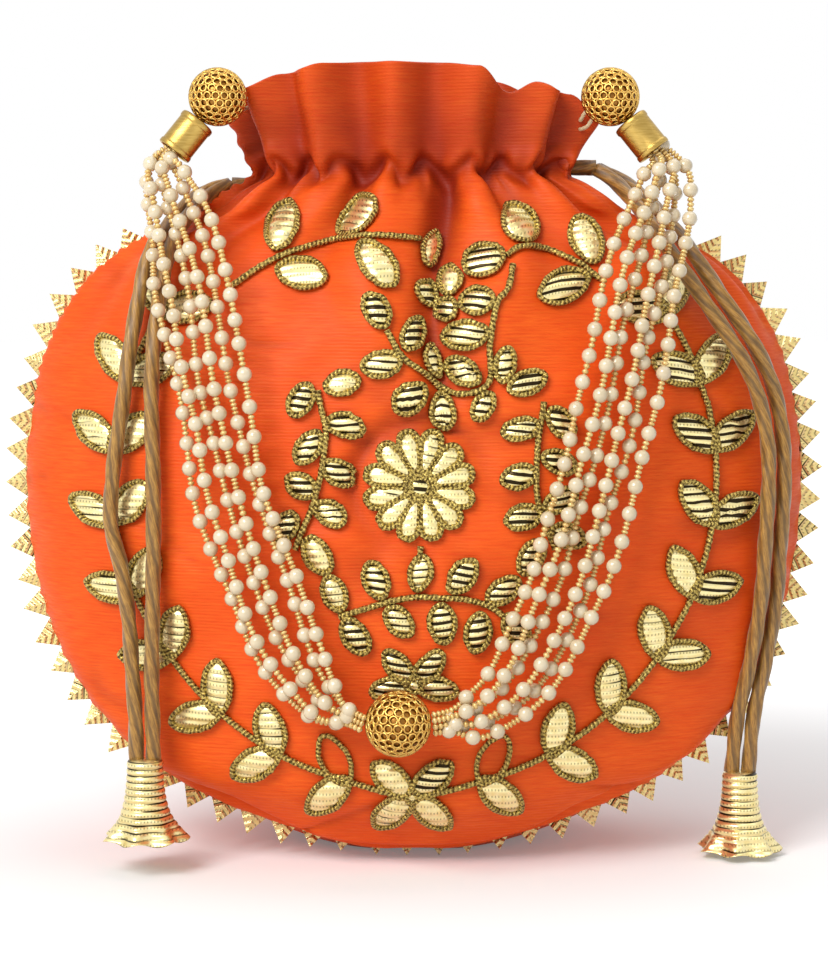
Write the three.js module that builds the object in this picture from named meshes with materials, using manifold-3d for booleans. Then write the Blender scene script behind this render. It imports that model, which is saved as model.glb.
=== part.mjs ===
// A potli: a round drawstring pouch of orange dupion silk with gold gota work on its front, a gold
// pointed trim round its edge, two gold drawcords that end in bell tassels, and a handle of pearl strands.
// Millimetres. X runs to the right, Y from the front to the back, Z up. The origin is on the floor,
// under the edge seam, in the middle of the pouch.

import * as THREE from 'three';
import Module from 'manifold-3d';

const wasm = await Module();
wasm.setup();

// Silk pouch
const BAG_HALF_WIDTH = 110;
const WIDEST_HEIGHT = 112;
const SEAM_LIFT = 6.6;
const LOWER_SQUARENESS = 2.35;
const BELLY_DEPTH = 52;
const BELLY_HEIGHT = 92;
const BELLY_RISE = 1.35;
const BELLY_ROUNDNESS = 1.1;
const FOOT_INNER = 9;
const FOOT_OUTER = 28;
const FOOT_FLATNESS = 0.9;
const BELLY_FLATNESS = 0.75;
const FOOT_ROUND_LOW = 20;
const FOOT_ROUND_HIGH = 50;
const SEAM_FORWARD = 16;
const FORWARD_REACH = 32;
const NECK_HEIGHT = 189;
const NECK_HALF_WIDTH = 44;
const NECK_DEPTH = 20;
const NECK_ROUNDNESS = 0.8;
const FRILL_HEIGHT = 30;
const FRILL_HALF_WIDTH = 51;
const FRILL_DEPTH = 27;
const WALL = 1.6;
const SEAM_ALLOWANCE = 4;

// Gathers at the neck: folds across each panel, and how far they stand in and out
const GATHERS = 7;
const GATHER_REACH = 23;
const GATHER_DEPTH = 2.2;
const FRILL_FOLD = 3.4;

// Clearance between pieces that touch, and the pointed trim in the edge seam
const CLEARANCE = 0.3;
const TRIM_THICKNESS = 0.6;
const TRIM_PITCH = 8.6;
const TRIM_POINT = 6.2;
const TRIM_SEWN_IN = 3;
const TRIM_TOP_SHARE = 0.6;

// Drawcords, the slit where they leave the neck, and the casing inside it
const CORD_DIAMETER = 4.2;
const CORD_SIDES = 8;
const CORD_STEPS = 66;
const CORD_LEVEL = 2.4;
const SLIT_ROOM = 1.5;
const LOOP_STRAIGHT = 16;
const LOOP_RADIUS = 11.5;
const CASING_GAP = 1;
const CASING_THICKNESS = 1;
const CASING_HEIGHT = 15;

// Bell tassels
const BELL_HEIGHT = 22;
const BELL_TOP_RADIUS = 5;
const BELL_HEM_RADIUS = 11;
const BELL_RUFFLE = 1.1;
const BELL_RUFFLES = 7;
const BELL_RIB = 0.5;
const BELL_SIDES = 2 * BELL_RUFFLES;

// Gota work: height above the silk, leaves, vine cord
const GOTA_LIFT = 0.75;
const LEAF_RISE = 1.6;
const LEAF_EDGE_LIFT = 0.25;
const LEAF_LENGTH = 16.5;
const LEAF_WIDTH = 9.4;
const SMALL_LEAF_LENGTH = 12.5;
const SMALL_LEAF_WIDTH = 7.4;
const LEAF_POINTS = 6;
const VINE_DIAMETER = 1.8;
const VINE_STEP = 8;
const VINE_SIDES = 3;
const CENTRE_PETALS = 10;
const CENTRE_PETAL_LENGTH = 14.5;
const CENTRE_PETAL_WIDTH = 8;
const CENTRE_DISC_RADIUS = 4.5;
const BALL_DISC_RADIUS = 3;
const BOTTOM_PETAL_LENGTH = 14;
const BOTTOM_PETAL_WIDTH = 8.5;
const BOTTOM_DISC_RADIUS = 2.5;

// Handle
const BEAD_RADIUS = 8;
const BALL_RADIUS = 8.8;
const BEAD_OUTSIDE_FRILL = 2.5;
const BEAD_FORWARD = 22.5;
const BEAD_BELOW_TOP = 9;
const CAP_RADIUS = 5;
const CAP_WALL = 0.8;
const CAP_LENGTH = 11;
const CAP_BASE = 2;
const CAP_OUTWARDS = 0.62;
const CAP_FORWARD = 0.12;
const CAP_DOWN = 0.775;
const THREAD_IN_CAP = 4;
const TIE_DIAMETER = 1.2;
const TIE_INSIDE_FRILL = 5;
const TIE_RISE = 2;
const TIE_SIDES = 6;
const ROUND_SIDES = 12;
const BALL_RINGS = 8;
const STRANDS = 6;
const PEARL_RADIUS = 2.1;
const PEARL_PITCH = 8.5;
const THREAD_RADIUS = 0.6;
const STRAND_GAP = 4.6;
const STRAND_SIDES = 4;

const silk = new THREE.MeshStandardMaterial({ color: 0xf0591e, roughness: 0.55, metalness: 0 });
const lining = new THREE.MeshStandardMaterial({ color: 0xd9501c, roughness: 0.7, metalness: 0 });
const gota = new THREE.MeshStandardMaterial({ color: 0xe6cf74, roughness: 0.3, metalness: 0.9 });
const satin = new THREE.MeshStandardMaterial({ color: 0xc99a3c, roughness: 0.4, metalness: 0.3 });
const brass = new THREE.MeshStandardMaterial({ color: 0xc79a45, roughness: 0.3, metalness: 1 });
const pearl = new THREE.MeshStandardMaterial({ color: 0xf3ead3, roughness: 0.25, metalness: 0 });
const thread = new THREE.MeshStandardMaterial({ color: 0xe9dcc0, roughness: 0.6, metalness: 0 });

const { lerp, smoothstep, degToRad } = THREE.MathUtils;
const TOP_HEIGHT = NECK_HEIGHT + FRILL_HEIGHT;
const RIM_GAP = TRIM_THICKNESS / 2 + CLEARANCE;
const SLIT_STRAND = CORD_DIAMETER / 2 + 1.5 * CLEARANCE;
const SLIT_HALF_WIDTH = SLIT_STRAND + CORD_DIAMETER / 2 + CLEARANCE;
const SLIT_HALF_HEIGHT = CORD_LEVEL + CORD_DIAMETER / 2 + SLIT_ROOM;
const GOTA_HEIGHT = GOTA_LIFT + LEAF_RISE;

const potli = new THREE.Group();

function addMesh(name, geometry, material) {
  const mesh = new THREE.Mesh(geometry, material);
  mesh.name = name;
  potli.add(mesh);
}

function geometryFrom(vertices, triangles) {
  const geometry = new THREE.BufferGeometry();
  const positions = vertices.flatMap((v) => [v.x, v.y, v.z]);
  geometry.setAttribute('position', new THREE.Float32BufferAttribute(positions, 3));
  geometry.setIndex(triangles.flat());
  return geometry;
}

function quad(a, b, c, d) {
  return [[a, b, c], [a, c, d]];
}

// The edge seam in the XZ plane, right half: a squarish round below the widest point, and a shoulder
// above it that falls in to the gathered neck. The same shoulder shapes the belly's depth.
const shoulder = new THREE.SplineCurve([
  new THREE.Vector2(0, 1),
  new THREE.Vector2(0.4, 0.89),
  new THREE.Vector2(0.69, 0.64),
  new THREE.Vector2(0.87, 0.22),
  new THREE.Vector2(1, 0),
]);

function lowerSeam(angle) {
  const power = 2 / LOWER_SQUARENESS;
  const drop = (WIDEST_HEIGHT - SEAM_LIFT) * Math.cos(angle) ** power;
  return new THREE.Vector2(BAG_HALF_WIDTH * Math.sin(angle) ** power, WIDEST_HEIGHT - drop);
}

function shoulderPoint(share, wide, narrow, low) {
  const p = shoulder.getPoint(share);
  return new THREE.Vector2(lerp(narrow, wide, p.y), lerp(low, NECK_HEIGHT, p.x));
}

// The rows of one panel, from the bottom of the seam to the frill's edge. Each row runs from seam to
// seam: seam holds its half width and height at the seam, mid its depth and height in the middle.
// The angles are in degrees round the seam's lower half, and round the belly's side view.
const FOOT_INNER_ANGLE = 14;
const FOOT_OUTER_ANGLE = 30;
const BELLY_ANGLES = [[43, 40], [56, 61], [70, 78], [85, 90]];
const SHOULDER_ROWS = 8;
const FRILL_SHARES = [SLIT_HALF_HEIGHT / FRILL_HEIGHT, 0.45, 0.72, 1];

function panelRows(bellyDepth) {
  const rows = [
    { seam: lowerSeam(0), mid: new THREE.Vector2(RIM_GAP, SEAM_LIFT) },
    { seam: lowerSeam(degToRad(FOOT_INNER_ANGLE)), mid: new THREE.Vector2(FOOT_INNER, 0) },
    { seam: lowerSeam(degToRad(FOOT_OUTER_ANGLE)), mid: new THREE.Vector2(FOOT_OUTER, 0) },
  ];
  for (const [seamAngle, bellyAngle] of BELLY_ANGLES) {
    const belly = degToRad(bellyAngle);
    const depth = lerp(FOOT_OUTER, bellyDepth, Math.sin(belly));
    const height = BELLY_HEIGHT * (1 - Math.cos(belly)) ** BELLY_RISE;
    rows.push({ seam: lowerSeam(degToRad(seamAngle)), mid: new THREE.Vector2(depth, height) });
  }
  for (let i = 1; i <= SHOULDER_ROWS; i += 1) {
    rows.push({
      seam: shoulderPoint(i / SHOULDER_ROWS, BAG_HALF_WIDTH, NECK_HALF_WIDTH, WIDEST_HEIGHT),
      mid: shoulderPoint(i / SHOULDER_ROWS, bellyDepth, NECK_DEPTH, BELLY_HEIGHT),
    });
  }
  for (const share of FRILL_SHARES) {
    const height = lerp(NECK_HEIGHT, TOP_HEIGHT, share);
    rows.push({
      seam: new THREE.Vector2(lerp(NECK_HALF_WIDTH, FRILL_HALF_WIDTH, share), height),
      mid: new THREE.Vector2(lerp(NECK_DEPTH, FRILL_DEPTH, share), height),
    });
  }
  for (const row of rows) {
    const height = row.seam.y;
    const neck = smoothstep(height, NECK_HEIGHT - GATHER_REACH, NECK_HEIGHT);
    const frill = smoothstep(height, NECK_HEIGHT, TOP_HEIGHT);
    row.gather = GATHER_DEPTH * neck + (FRILL_FOLD - GATHER_DEPTH) * frill;
    row.roundness = lerp(BELLY_ROUNDNESS, NECK_ROUNDNESS, neck);
    row.allowance = lerp(SEAM_ALLOWANCE, WALL, neck);
    row.flatness = lerp(FOOT_FLATNESS, BELLY_FLATNESS, smoothstep(height, FOOT_ROUND_LOW, FOOT_ROUND_HIGH));
    row.rim = Math.abs(height - NECK_HEIGHT) <= SLIT_HALF_HEIGHT + 0.01 ? SLIT_HALF_WIDTH : RIM_GAP;
  }
  return rows;
}

// A row curve moved inwards by each row's own distance
function inset(points, distances) {
  return points.map((point, i) => {
    const before = points[Math.max(0, i - 1)];
    const after = points[Math.min(points.length - 1, i + 1)];
    const along = after.clone().sub(before).normalize();
    return new THREE.Vector2(point.x - along.y * distances[i], point.y + along.x * distances[i]);
  });
}

function innerRows(rows) {
  const seams = inset(rows.map((row) => row.seam), rows.map((row) => row.allowance));
  const mids = inset(rows.map((row) => row.mid), rows.map(() => WALL));
  mids[0].set(RIM_GAP, seams[0].y);
  seams[0].x = 0;
  return rows.map((row, i) => ({ ...row, seam: seams[i], mid: mids[i] }));
}

const COLUMNS = 4 * GATHERS;
const FORWARD_TOP = lowerSeam(degToRad(BELLY_ANGLES[BELLY_ANGLES.length - 1][0])).y;

// How far the seam lies in front of the edge's plane at a height: the filled pouch leans back on its seam
function seamForward(height) {
  return SEAM_FORWARD * Math.max(0, 1 - height / FORWARD_TOP);
}

function panelPoint(row, column, side) {
  const turn = column / COLUMNS;
  const across = Math.sin(Math.PI * (turn - 0.5));
  const out = Math.abs(Math.cos(Math.PI * (turn - 0.5))) < 1e-9 ? 0 : Math.cos(Math.PI * (turn - 0.5));
  const wave = row.gather * Math.round(Math.sin(Math.PI * column / 2));
  const depth = row.rim + (row.mid.x - row.rim) * out ** row.roundness + wave * out;
  const height = lerp(row.seam.y, row.mid.y, Math.min(1, out * out / row.flatness));
  const forward = seamForward(height) * (1 - smoothstep(depth, 0, FORWARD_REACH));
  return new THREE.Vector3((row.seam.x + wave) * across, -side * depth - forward, height);
}

// One silk panel: outer and inner faces, joined along both seams and the frill's edge
function panelMesh(bellyDepth, side) {
  const outer = panelRows(bellyDepth);
  const layers = [outer, innerRows(outer)];
  const vertices = [];
  const index = layers.map((rows) => rows.map((row, r) => {
    const count = r === 0 ? 1 : COLUMNS + 1;
    return Array.from({ length: count }, (_, c) => {
      vertices.push(panelPoint(row, r === 0 ? 0 : c, side));
      return vertices.length - 1;
    });
  }));
  const [face, back] = index;
  const last = outer.length - 1;
  const facing = [];
  const rest = [];
  for (let c = 0; c < COLUMNS; c += 1) {
    facing.push([face[0][0], face[1][c + 1], face[1][c]]);
    rest.push([back[0][0], back[1][c], back[1][c + 1]]);
    for (let r = 1; r < last; r += 1) {
      facing.push(...quad(face[r][c], face[r][c + 1], face[r + 1][c + 1], face[r + 1][c]));
      rest.push(...quad(back[r][c], back[r + 1][c], back[r + 1][c + 1], back[r][c + 1]));
    }
    rest.push(...quad(face[last][c], face[last][c + 1], back[last][c + 1], back[last][c]));
  }
  for (let r = 0; r < last; r += 1) {
    const low = r === 0 ? 0 : COLUMNS;
    rest.push(...quad(face[r][0], face[r + 1][0], back[r + 1][0], back[r][0]));
    rest.push(...quad(face[r + 1][COLUMNS], face[r][low], back[r][low], back[r + 1][COLUMNS]));
  }
  const triangles = [...facing, ...rest];
  if (side < 0) {
    triangles.forEach((t) => t.reverse());
  }
  return { vertices, triangles, facing };
}

const front = panelMesh(BELLY_DEPTH, 1);
const rear = panelMesh(BELLY_DEPTH + GOTA_HEIGHT, -1);
addMesh('front_panel', geometryFrom(front.vertices, front.triangles), silk);
addMesh('back_panel', geometryFrom(rear.vertices, rear.triangles), silk);

// The faces of a closed tube whose rings of vertices follow each other
function ringFaces(rings, sides) {
  const triangles = [];
  const end = (rings - 1) * sides;
  for (let k = 0; k < sides; k += 1) {
    const next = (k + 1) % sides;
    for (let base = 0; base < end; base += sides) {
      triangles.push(...quad(base + k, base + next, base + sides + next, base + sides + k));
    }
    if (k > 0 && k < sides - 1) {
      triangles.push([0, next, k], [end, end + k, end + next]);
    }
  }
  return triangles;
}

// A closed tube of straight-sided rings: centres, with the ring's two directions and radius at each
function tubeMesh(rings, sides) {
  const vertices = [];
  for (const { centre, across, out, radius } of rings) {
    for (let k = 0; k < sides; k += 1) {
      const turn = Math.PI / 2 + 2 * Math.PI * k / sides;
      const point = centre.clone().addScaledVector(across, radius * Math.cos(turn));
      vertices.push(point.addScaledVector(out, radius * Math.sin(turn)));
    }
  }
  return { vertices, triangles: ringFaces(rings.length, sides) };
}

// The seam from the bottom to the end of the trim, on one side, as points in the XZ plane
const SEAM_STEPS = 24;

function seamSide(side) {
  const points = [];
  for (let i = 0; i < SEAM_STEPS; i += 1) {
    points.push(lowerSeam(Math.PI / 2 * i / SEAM_STEPS));
  }
  for (let i = 0; i <= SHOULDER_ROWS; i += 1) {
    const share = TRIM_TOP_SHARE * i / SHOULDER_ROWS;
    points.push(shoulderPoint(share, BAG_HALF_WIDTH, NECK_HALF_WIDTH, WIDEST_HEIGHT));
  }
  return points.map((p) => new THREE.Vector2(side * p.x, p.y));
}

// Edge trim: a row of folded ribbon points that stands out of the seam
const seamLine = new THREE.SplineCurve([...seamSide(-1).reverse(), ...seamSide(1).slice(1)]);
const trimPoints = Math.round(seamLine.getLength() / TRIM_PITCH);
const trimVertices = [];
for (let i = 0; i <= 2 * trimPoints; i += 1) {
  const share = i / (2 * trimPoints);
  const point = seamLine.getPointAt(share);
  const along = seamLine.getTangentAt(share);
  const outwards = new THREE.Vector2(along.y, -along.x);
  const outer = point.clone().addScaledVector(outwards, i % 2 === 1 ? TRIM_POINT : 0);
  const inner = point.clone().addScaledVector(outwards, -TRIM_SEWN_IN);
  for (const [corner, side] of [[outer, -1], [outer, 1], [inner, 1], [inner, -1]]) {
    const y = side * TRIM_THICKNESS / 2 - seamForward(corner.y);
    trimVertices.push(new THREE.Vector3(corner.x, y, corner.y));
  }
}
const trimTriangles = ringFaces(2 * trimPoints + 1, 4);
addMesh('edge_trim', geometryFrom(trimVertices, trimTriangles), gota);

// Casing: the band sewn inside the neck, with the cords between it and the silk
const casingRadius = LOOP_RADIUS - CORD_DIAMETER / 2 - CASING_GAP;

function stadium(PathClass, radius) {
  const path = new PathClass();
  path.absarc(LOOP_STRAIGHT, 0, radius, -Math.PI / 2, Math.PI / 2, false);
  path.absarc(-LOOP_STRAIGHT, 0, radius, Math.PI / 2, 1.5 * Math.PI, false);
  return path;
}

const casingShape = stadium(THREE.Shape, casingRadius);
casingShape.holes.push(stadium(THREE.Path, casingRadius - CASING_THICKNESS));
const casingOptions = { depth: CASING_HEIGHT, bevelEnabled: false, curveSegments: 6 };
const casingGeometry = new THREE.ExtrudeGeometry(casingShape, casingOptions);
casingGeometry.translate(0, 0, NECK_HEIGHT - CASING_HEIGHT / 2);
addMesh('casing_band', casingGeometry, lining);

// Drawcords. Each comes up from its bell, in through the slit, once round the neck inside the casing
// and out again. The points of the hanging strands run from the slit down to the bell.
const LEFT_INNER_STRAND = [
  [-51.5, -2.8, 186.4], [-56.5, -6.5, 184], [-61.5, -14, 179], [-65, -22, 173], [-67.5, -31, 163.5],
  [-69.8, -37.5, 146], [-70.5, -40.7, 131], [-69.9, -43.8, 108.7], [-69.9, -44.5, 90], [-70.4, -44.2, 70],
  [-70.8, -43.5, 52], [-70.7, -43, 42], [-70.6, -42.5, 31],
];
const LEFT_OUTER_STRAND = [
  [-52, 2.6, 186.6], [-58, 0, 185], [-63.5, -7, 181], [-68, -15, 175], [-72, -26.5, 167.5],
  [-76, -33.8, 147], [-78.6, -37.6, 127], [-81.3, -38.6, 108], [-81.8, -39.4, 94], [-79.3, -40.6, 84],
  [-77.2, -41.2, 70], [-76.2, -41.8, 55], [-75.4, -42.2, 42], [-75.2, -42.5, 31],
];
const RIGHT_INNER_STRAND = [
  [51, -2.6, 191], [56, -5.5, 187.5], [61, -12, 181.5], [65.5, -20, 175], [70.5, -27.5, 167],
  [79, -29.8, 154.5], [89, -29.8, 139.5], [94, -28.2, 128.5], [96.8, -28.4, 114.7], [96.8, -29.6, 100],
  [96.2, -29.3, 88], [95.5, -27.6, 73], [93, -24.8, 55], [90, -22.6, 40], [88.4, -22, 23.6],
];
const RIGHT_OUTER_STRAND = [
  [52, 2.6, 191], [58, 0, 188], [64, -6.5, 183], [69.5, -14, 177], [75, -21.5, 169.5],
  [84, -26.6, 156], [94, -25.8, 141], [99.3, -23, 129], [101.6, -24.2, 114.7], [101.6, -25.6, 100],
  [100.9, -25.2, 88], [100.2, -23.6, 73], [97.6, -22, 55], [94.6, -21.6, 40], [93.1, -22, 23.6],
];
const cordSection = new THREE.Shape();
for (let k = 0; k < CORD_SIDES; k += 1) {
  const turn = 2 * Math.PI * k / CORD_SIDES;
  const corner = [CORD_DIAMETER / 2 * Math.cos(turn), CORD_DIAMETER / 2 * Math.sin(turn)];
  if (k === 0) {
    cordSection.moveTo(...corner);
  } else {
    cordSection.lineTo(...corner);
  }
}

// Half of the run inside the neck: from the slit to the far end of the loop
function loopHalf(side, level, face) {
  const diagonal = LOOP_RADIUS * Math.SQRT1_2;
  const shares = [
    [NECK_HALF_WIDTH, SLIT_STRAND], [NECK_HALF_WIDTH - 8, SLIT_STRAND + 0.6],
    [LOOP_STRAIGHT + 12, LOOP_RADIUS - 5.3], [LOOP_STRAIGHT + 5, LOOP_RADIUS - 1.9],
    [LOOP_STRAIGHT - 2, LOOP_RADIUS], [0, LOOP_RADIUS], [-LOOP_STRAIGHT, LOOP_RADIUS],
    [-LOOP_STRAIGHT - diagonal, diagonal],
  ];
  return shares.map(([x, y]) => new THREE.Vector3(side * x, face * y, level));
}

function drawcord(name, side, level, innerStrand, outerStrand) {
  const inner = innerStrand.map((p) => new THREE.Vector3(...p));
  const outer = outerStrand.map((p) => new THREE.Vector3(...p));
  const route = new THREE.CatmullRomCurve3([
    ...inner.reverse(), ...loopHalf(side, level, -1),
    new THREE.Vector3(-side * (LOOP_STRAIGHT + LOOP_RADIUS), 0, level),
    ...loopHalf(side, level, 1).reverse(), ...outer,
  ], false, 'centripetal');
  const options = { steps: CORD_STEPS, extrudePath: route, bevelEnabled: false };
  addMesh(name, new THREE.ExtrudeGeometry(cordSection, options), satin);
}

drawcord('drawcord_left', -1, NECK_HEIGHT - CORD_LEVEL, LEFT_INNER_STRAND, LEFT_OUTER_STRAND);
drawcord('drawcord_right', 1, NECK_HEIGHT + CORD_LEVEL, RIGHT_INNER_STRAND, RIGHT_OUTER_STRAND);

// Bell tassels: a ribbed cone of gold ribbon with a ruffled hem, just under its two cord ends. Each step
// of the profile gives its share of the way down, its share of the spread and 1 where a rib stands out.
const BELL_STEPS = [[0.2, 0.05, 1], [0.35, 0.12, 0], [0.5, 0.22, 1], [0.65, 0.36, 0], [0.85, 0.7, 0]];

function bellTassel(name, strands) {
  const ends = strands.map((points) => new THREE.Vector3(...points.at(-1)));
  const profile = [new THREE.Vector2(0, BELL_HEIGHT), new THREE.Vector2(BELL_TOP_RADIUS, BELL_HEIGHT)];
  for (const [fall, spread, rib] of BELL_STEPS) {
    const radius = lerp(BELL_TOP_RADIUS, BELL_HEM_RADIUS, spread) + rib * BELL_RIB;
    profile.push(new THREE.Vector2(radius, BELL_HEIGHT * (1 - fall)));
  }
  profile.push(new THREE.Vector2(BELL_HEM_RADIUS, 0), new THREE.Vector2(0, 0));
  const geometry = new THREE.LatheGeometry(profile.reverse(), BELL_SIDES);
  geometry.rotateX(Math.PI / 2);
  const position = geometry.attributes.position;
  for (let i = 0; i < position.count; i += 1) {
    const radius = Math.hypot(position.getX(i), position.getY(i));
    const turn = Math.atan2(position.getY(i), position.getX(i));
    const hem = smoothstep(radius, BELL_TOP_RADIUS + BELL_RIB, BELL_HEM_RADIUS);
    const scale = 1 + hem * BELL_RUFFLE * Math.cos(BELL_RUFFLES * turn) / BELL_HEM_RADIUS;
    position.setXY(i, position.getX(i) * scale, position.getY(i) * scale);
  }
  const middle = ends[0].clone().add(ends[1]).multiplyScalar(0.5);
  geometry.translate(middle.x, middle.y, middle.z - CLEARANCE - BELL_HEIGHT);
  addMesh(name, geometry, gota);
}

bellTassel('bell_tassel_left', [LEFT_INNER_STRAND, LEFT_OUTER_STRAND]);
bellTassel('bell_tassel_right', [RIGHT_INNER_STRAND, RIGHT_OUTER_STRAND]);

// A point of the front panel's face under (x, z), lifted off the silk, and the way out of the silk there
const facets = front.facing.map((corners) => {
  const triangle = new THREE.Triangle(...corners.map((i) => front.vertices[i]));
  const flat = new THREE.Triangle(...corners.map((i) => {
    return new THREE.Vector3(front.vertices[i].x, 0, front.vertices[i].z);
  }));
  return { triangle, flat, out: triangle.getNormal(new THREE.Vector3()) };
});

function lay(x, z, lift) {
  const spot = new THREE.Vector3(x, 0, z);
  const share = new THREE.Vector3();
  let best = null;
  for (const { triangle, flat, out } of facets) {
    if (out.y < -0.05 && flat.getBarycoord(spot, share) && Math.min(share.x, share.y, share.z) >= -1e-6) {
      const point = new THREE.Vector3()
        .addScaledVector(triangle.a, share.x)
        .addScaledVector(triangle.b, share.y)
        .addScaledVector(triangle.c, share.z);
      if (best === null || point.y < best.point.y) {
        best = { point, out };
      }
    }
  }
  return { point: best.point.clone().addScaledVector(best.out, lift), out: best.out };
}

// Gota leaf: a padded oval that starts at its base and points along heading
function leaf(base, heading, length, width) {
  const along = new THREE.Vector2(Math.cos(heading), Math.sin(heading));
  const aside = new THREE.Vector2(-along.y, along.x);
  const middle = base.clone().addScaledVector(along, length / 2 - VINE_DIAMETER);
  const vertices = [];
  for (let k = 0; k < LEAF_POINTS; k += 1) {
    const turn = 2 * Math.PI * k / LEAF_POINTS;
    const spot = middle.clone()
      .addScaledVector(along, length / 2 * Math.cos(turn))
      .addScaledVector(aside, width / 2 * Math.sin(turn));
    vertices.push(lay(spot.x, spot.y, GOTA_LIFT + LEAF_EDGE_LIFT).point);
  }
  vertices.push(lay(middle.x, middle.y, GOTA_LIFT).point);
  vertices.push(lay(middle.x, middle.y, GOTA_LIFT + LEAF_RISE).point);
  const triangles = [];
  for (let k = 0; k < LEAF_POINTS; k += 1) {
    const next = (k + 1) % LEAF_POINTS;
    triangles.push([k, next, LEAF_POINTS + 1], [next, k, LEAF_POINTS]);
  }
  return { vertices, triangles };
}

// Vine: a twisted cord sewn down along a curve on the silk
function vine(curve) {
  const steps = Math.max(2, Math.ceil(curve.getLength() / VINE_STEP));
  const rings = curve.getSpacedPoints(steps).map((spot, i) => {
    const along = curve.getTangentAt(i / steps);
    const { point, out } = lay(spot.x, spot.y, GOTA_LIFT + VINE_DIAMETER / 4);
    const across = out.clone().cross(new THREE.Vector3(along.x, 0, along.y)).normalize();
    return { centre: point, across, out, radius: VINE_DIAMETER / 2 };
  });
  return tubeMesh(rings, VINE_SIDES);
}

function join(name, pieces) {
  const solids = pieces.map(({ vertices, triangles }) => {
    const vertProperties = new Float32Array(vertices.flatMap((v) => [v.x, v.y, v.z]));
    const triVerts = new Uint32Array(triangles.flat());
    return new wasm.Manifold(new wasm.Mesh({ numProp: 3, vertProperties, triVerts }));
  });
  const joined = solids.reduce((whole, solid) => whole.add(solid)).getMesh();
  const geometry = new THREE.BufferGeometry();
  geometry.setAttribute('position', new THREE.Float32BufferAttribute(joined.vertProperties, 3));
  geometry.setIndex(Array.from(joined.triVerts));
  addMesh(name, geometry, gota);
}

// A spray: a vine with leaves. Places are in hundredths of the pouch's half width, from the middle, and
// of the neck's height. Each leaf gives its share along the vine and its turn from the vine, in degrees.
function place(x, z) {
  return new THREE.Vector2(x / 100 * BAG_HALF_WIDTH, z / 100 * NECK_HEIGHT);
}

function spray(name, points, leaves, length, width) {
  const curve = new THREE.SplineCurve(points.map(([x, z]) => place(x, z)));
  const pieces = [vine(curve)];
  for (const [share, turn] of leaves) {
    const heading = curve.getTangentAt(share).angle() + degToRad(turn);
    pieces.push(leaf(curve.getPointAt(share), heading, length, width));
  }
  join(name, pieces);
}

spray('side_spray_left', [[-26.4, 48.1], [-23.2, 52.4], [-21.8, 58.2], [-21.5, 64], [-18.2, 68.8]],
  [[0.06, 90], [0.16, -50], [0.33, 60], [0.46, -50], [0.6, 60], [0.74, -50], [0.86, 60], [0.98, -40]],
  SMALL_LEAF_LENGTH, SMALL_LEAF_WIDTH);
spray('side_spray_right', [[32.7, 49.5], [30, 52.9], [28.7, 58.2], [29.2, 63.8], [32.3, 68.8]],
  [[0.06, -90], [0.16, 50], [0.33, -60], [0.46, 50], [0.6, -60], [0.74, 50], [0.86, -60], [0.98, 50]],
  SMALL_LEAF_LENGTH, SMALL_LEAF_WIDTH);
spray('lower_spray', [[-18.2, 38.6], [-7.7, 40.2], [1.2, 41.2], [9.6, 40.6], [16.9, 39.1], [24.1, 35.7]],
  [[0.1, 40], [0.32, 50], [0.54, 50], [0.76, 55], [0.05, -70], [0.28, -70], [0.5, -60], [0.72, -50]],
  SMALL_LEAF_LENGTH, SMALL_LEAF_WIDTH);
spray('top_cluster', [[6.5, 67.2], [5.5, 70.9], [3.6, 76.7], [3.6, 82.5]],
  [[0, 130], [0.1, -70], [0.28, 65], [0.32, -50], [0.55, 60], [0.6, -55], [0.85, 70], [0.9, -60], [1, -20]],
  SMALL_LEAF_LENGTH, SMALL_LEAF_WIDTH);
spray('top_spray_left', [[1.8, 91], [-16.1, 90.7], [-26, 89.7], [-34.7, 87.6], [-41.8, 84.7]],
  [[0.05, 60], [0.25, -60], [0.45, 60], [0.62, -70], [0.98, 50]],
  LEAF_LENGTH, LEAF_WIDTH);
spray('top_spray_right', [[19.4, 80.7], [22.5, 85], [25.5, 89.2], [32.7, 89.4], [39.6, 87.8], [46.4, 85.2]],
  [[0.3, 60], [0.45, 70], [0.62, -75], [0.75, 60]],
  LEAF_LENGTH, LEAF_WIDTH);

// Wreath: a long vine up each side, set in from the seam, with leaves in pairs. Its angles are in degrees
// from straight down, above the widest height it follows the shoulder, and its pairs stand a little
// inside both ends.
const WREATH_INSET = 22;
const WREATH_FLOOR = 24;
const WREATH_DRAW_IN = 9;
const WREATH_START_ANGLE = 11;
const WREATH_END_ANGLE = 122;
const WREATH_PAIRS = 9;
const WREATH_FIRST_SHARE = 0.1;
const WREATH_LAST_SHARE = 0.8;
const WREATH_OUTER_ANGLE = 58;
const WREATH_INNER_ANGLE = 48;

function wreathSpot(side, share) {
  const halfWidth = BAG_HALF_WIDTH - WREATH_INSET - WREATH_DRAW_IN * share;
  const turn = degToRad(lerp(WREATH_START_ANGLE, WREATH_END_ANGLE, share));
  const drop = WIDEST_HEIGHT - WREATH_FLOOR - WREATH_DRAW_IN * share;
  const rise = NECK_HEIGHT - WIDEST_HEIGHT;
  const reach = Math.cos(turn) > 0 ? drop : rise;
  return new THREE.Vector2(side * halfWidth * Math.sin(turn), WIDEST_HEIGHT - reach * Math.cos(turn));
}

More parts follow.
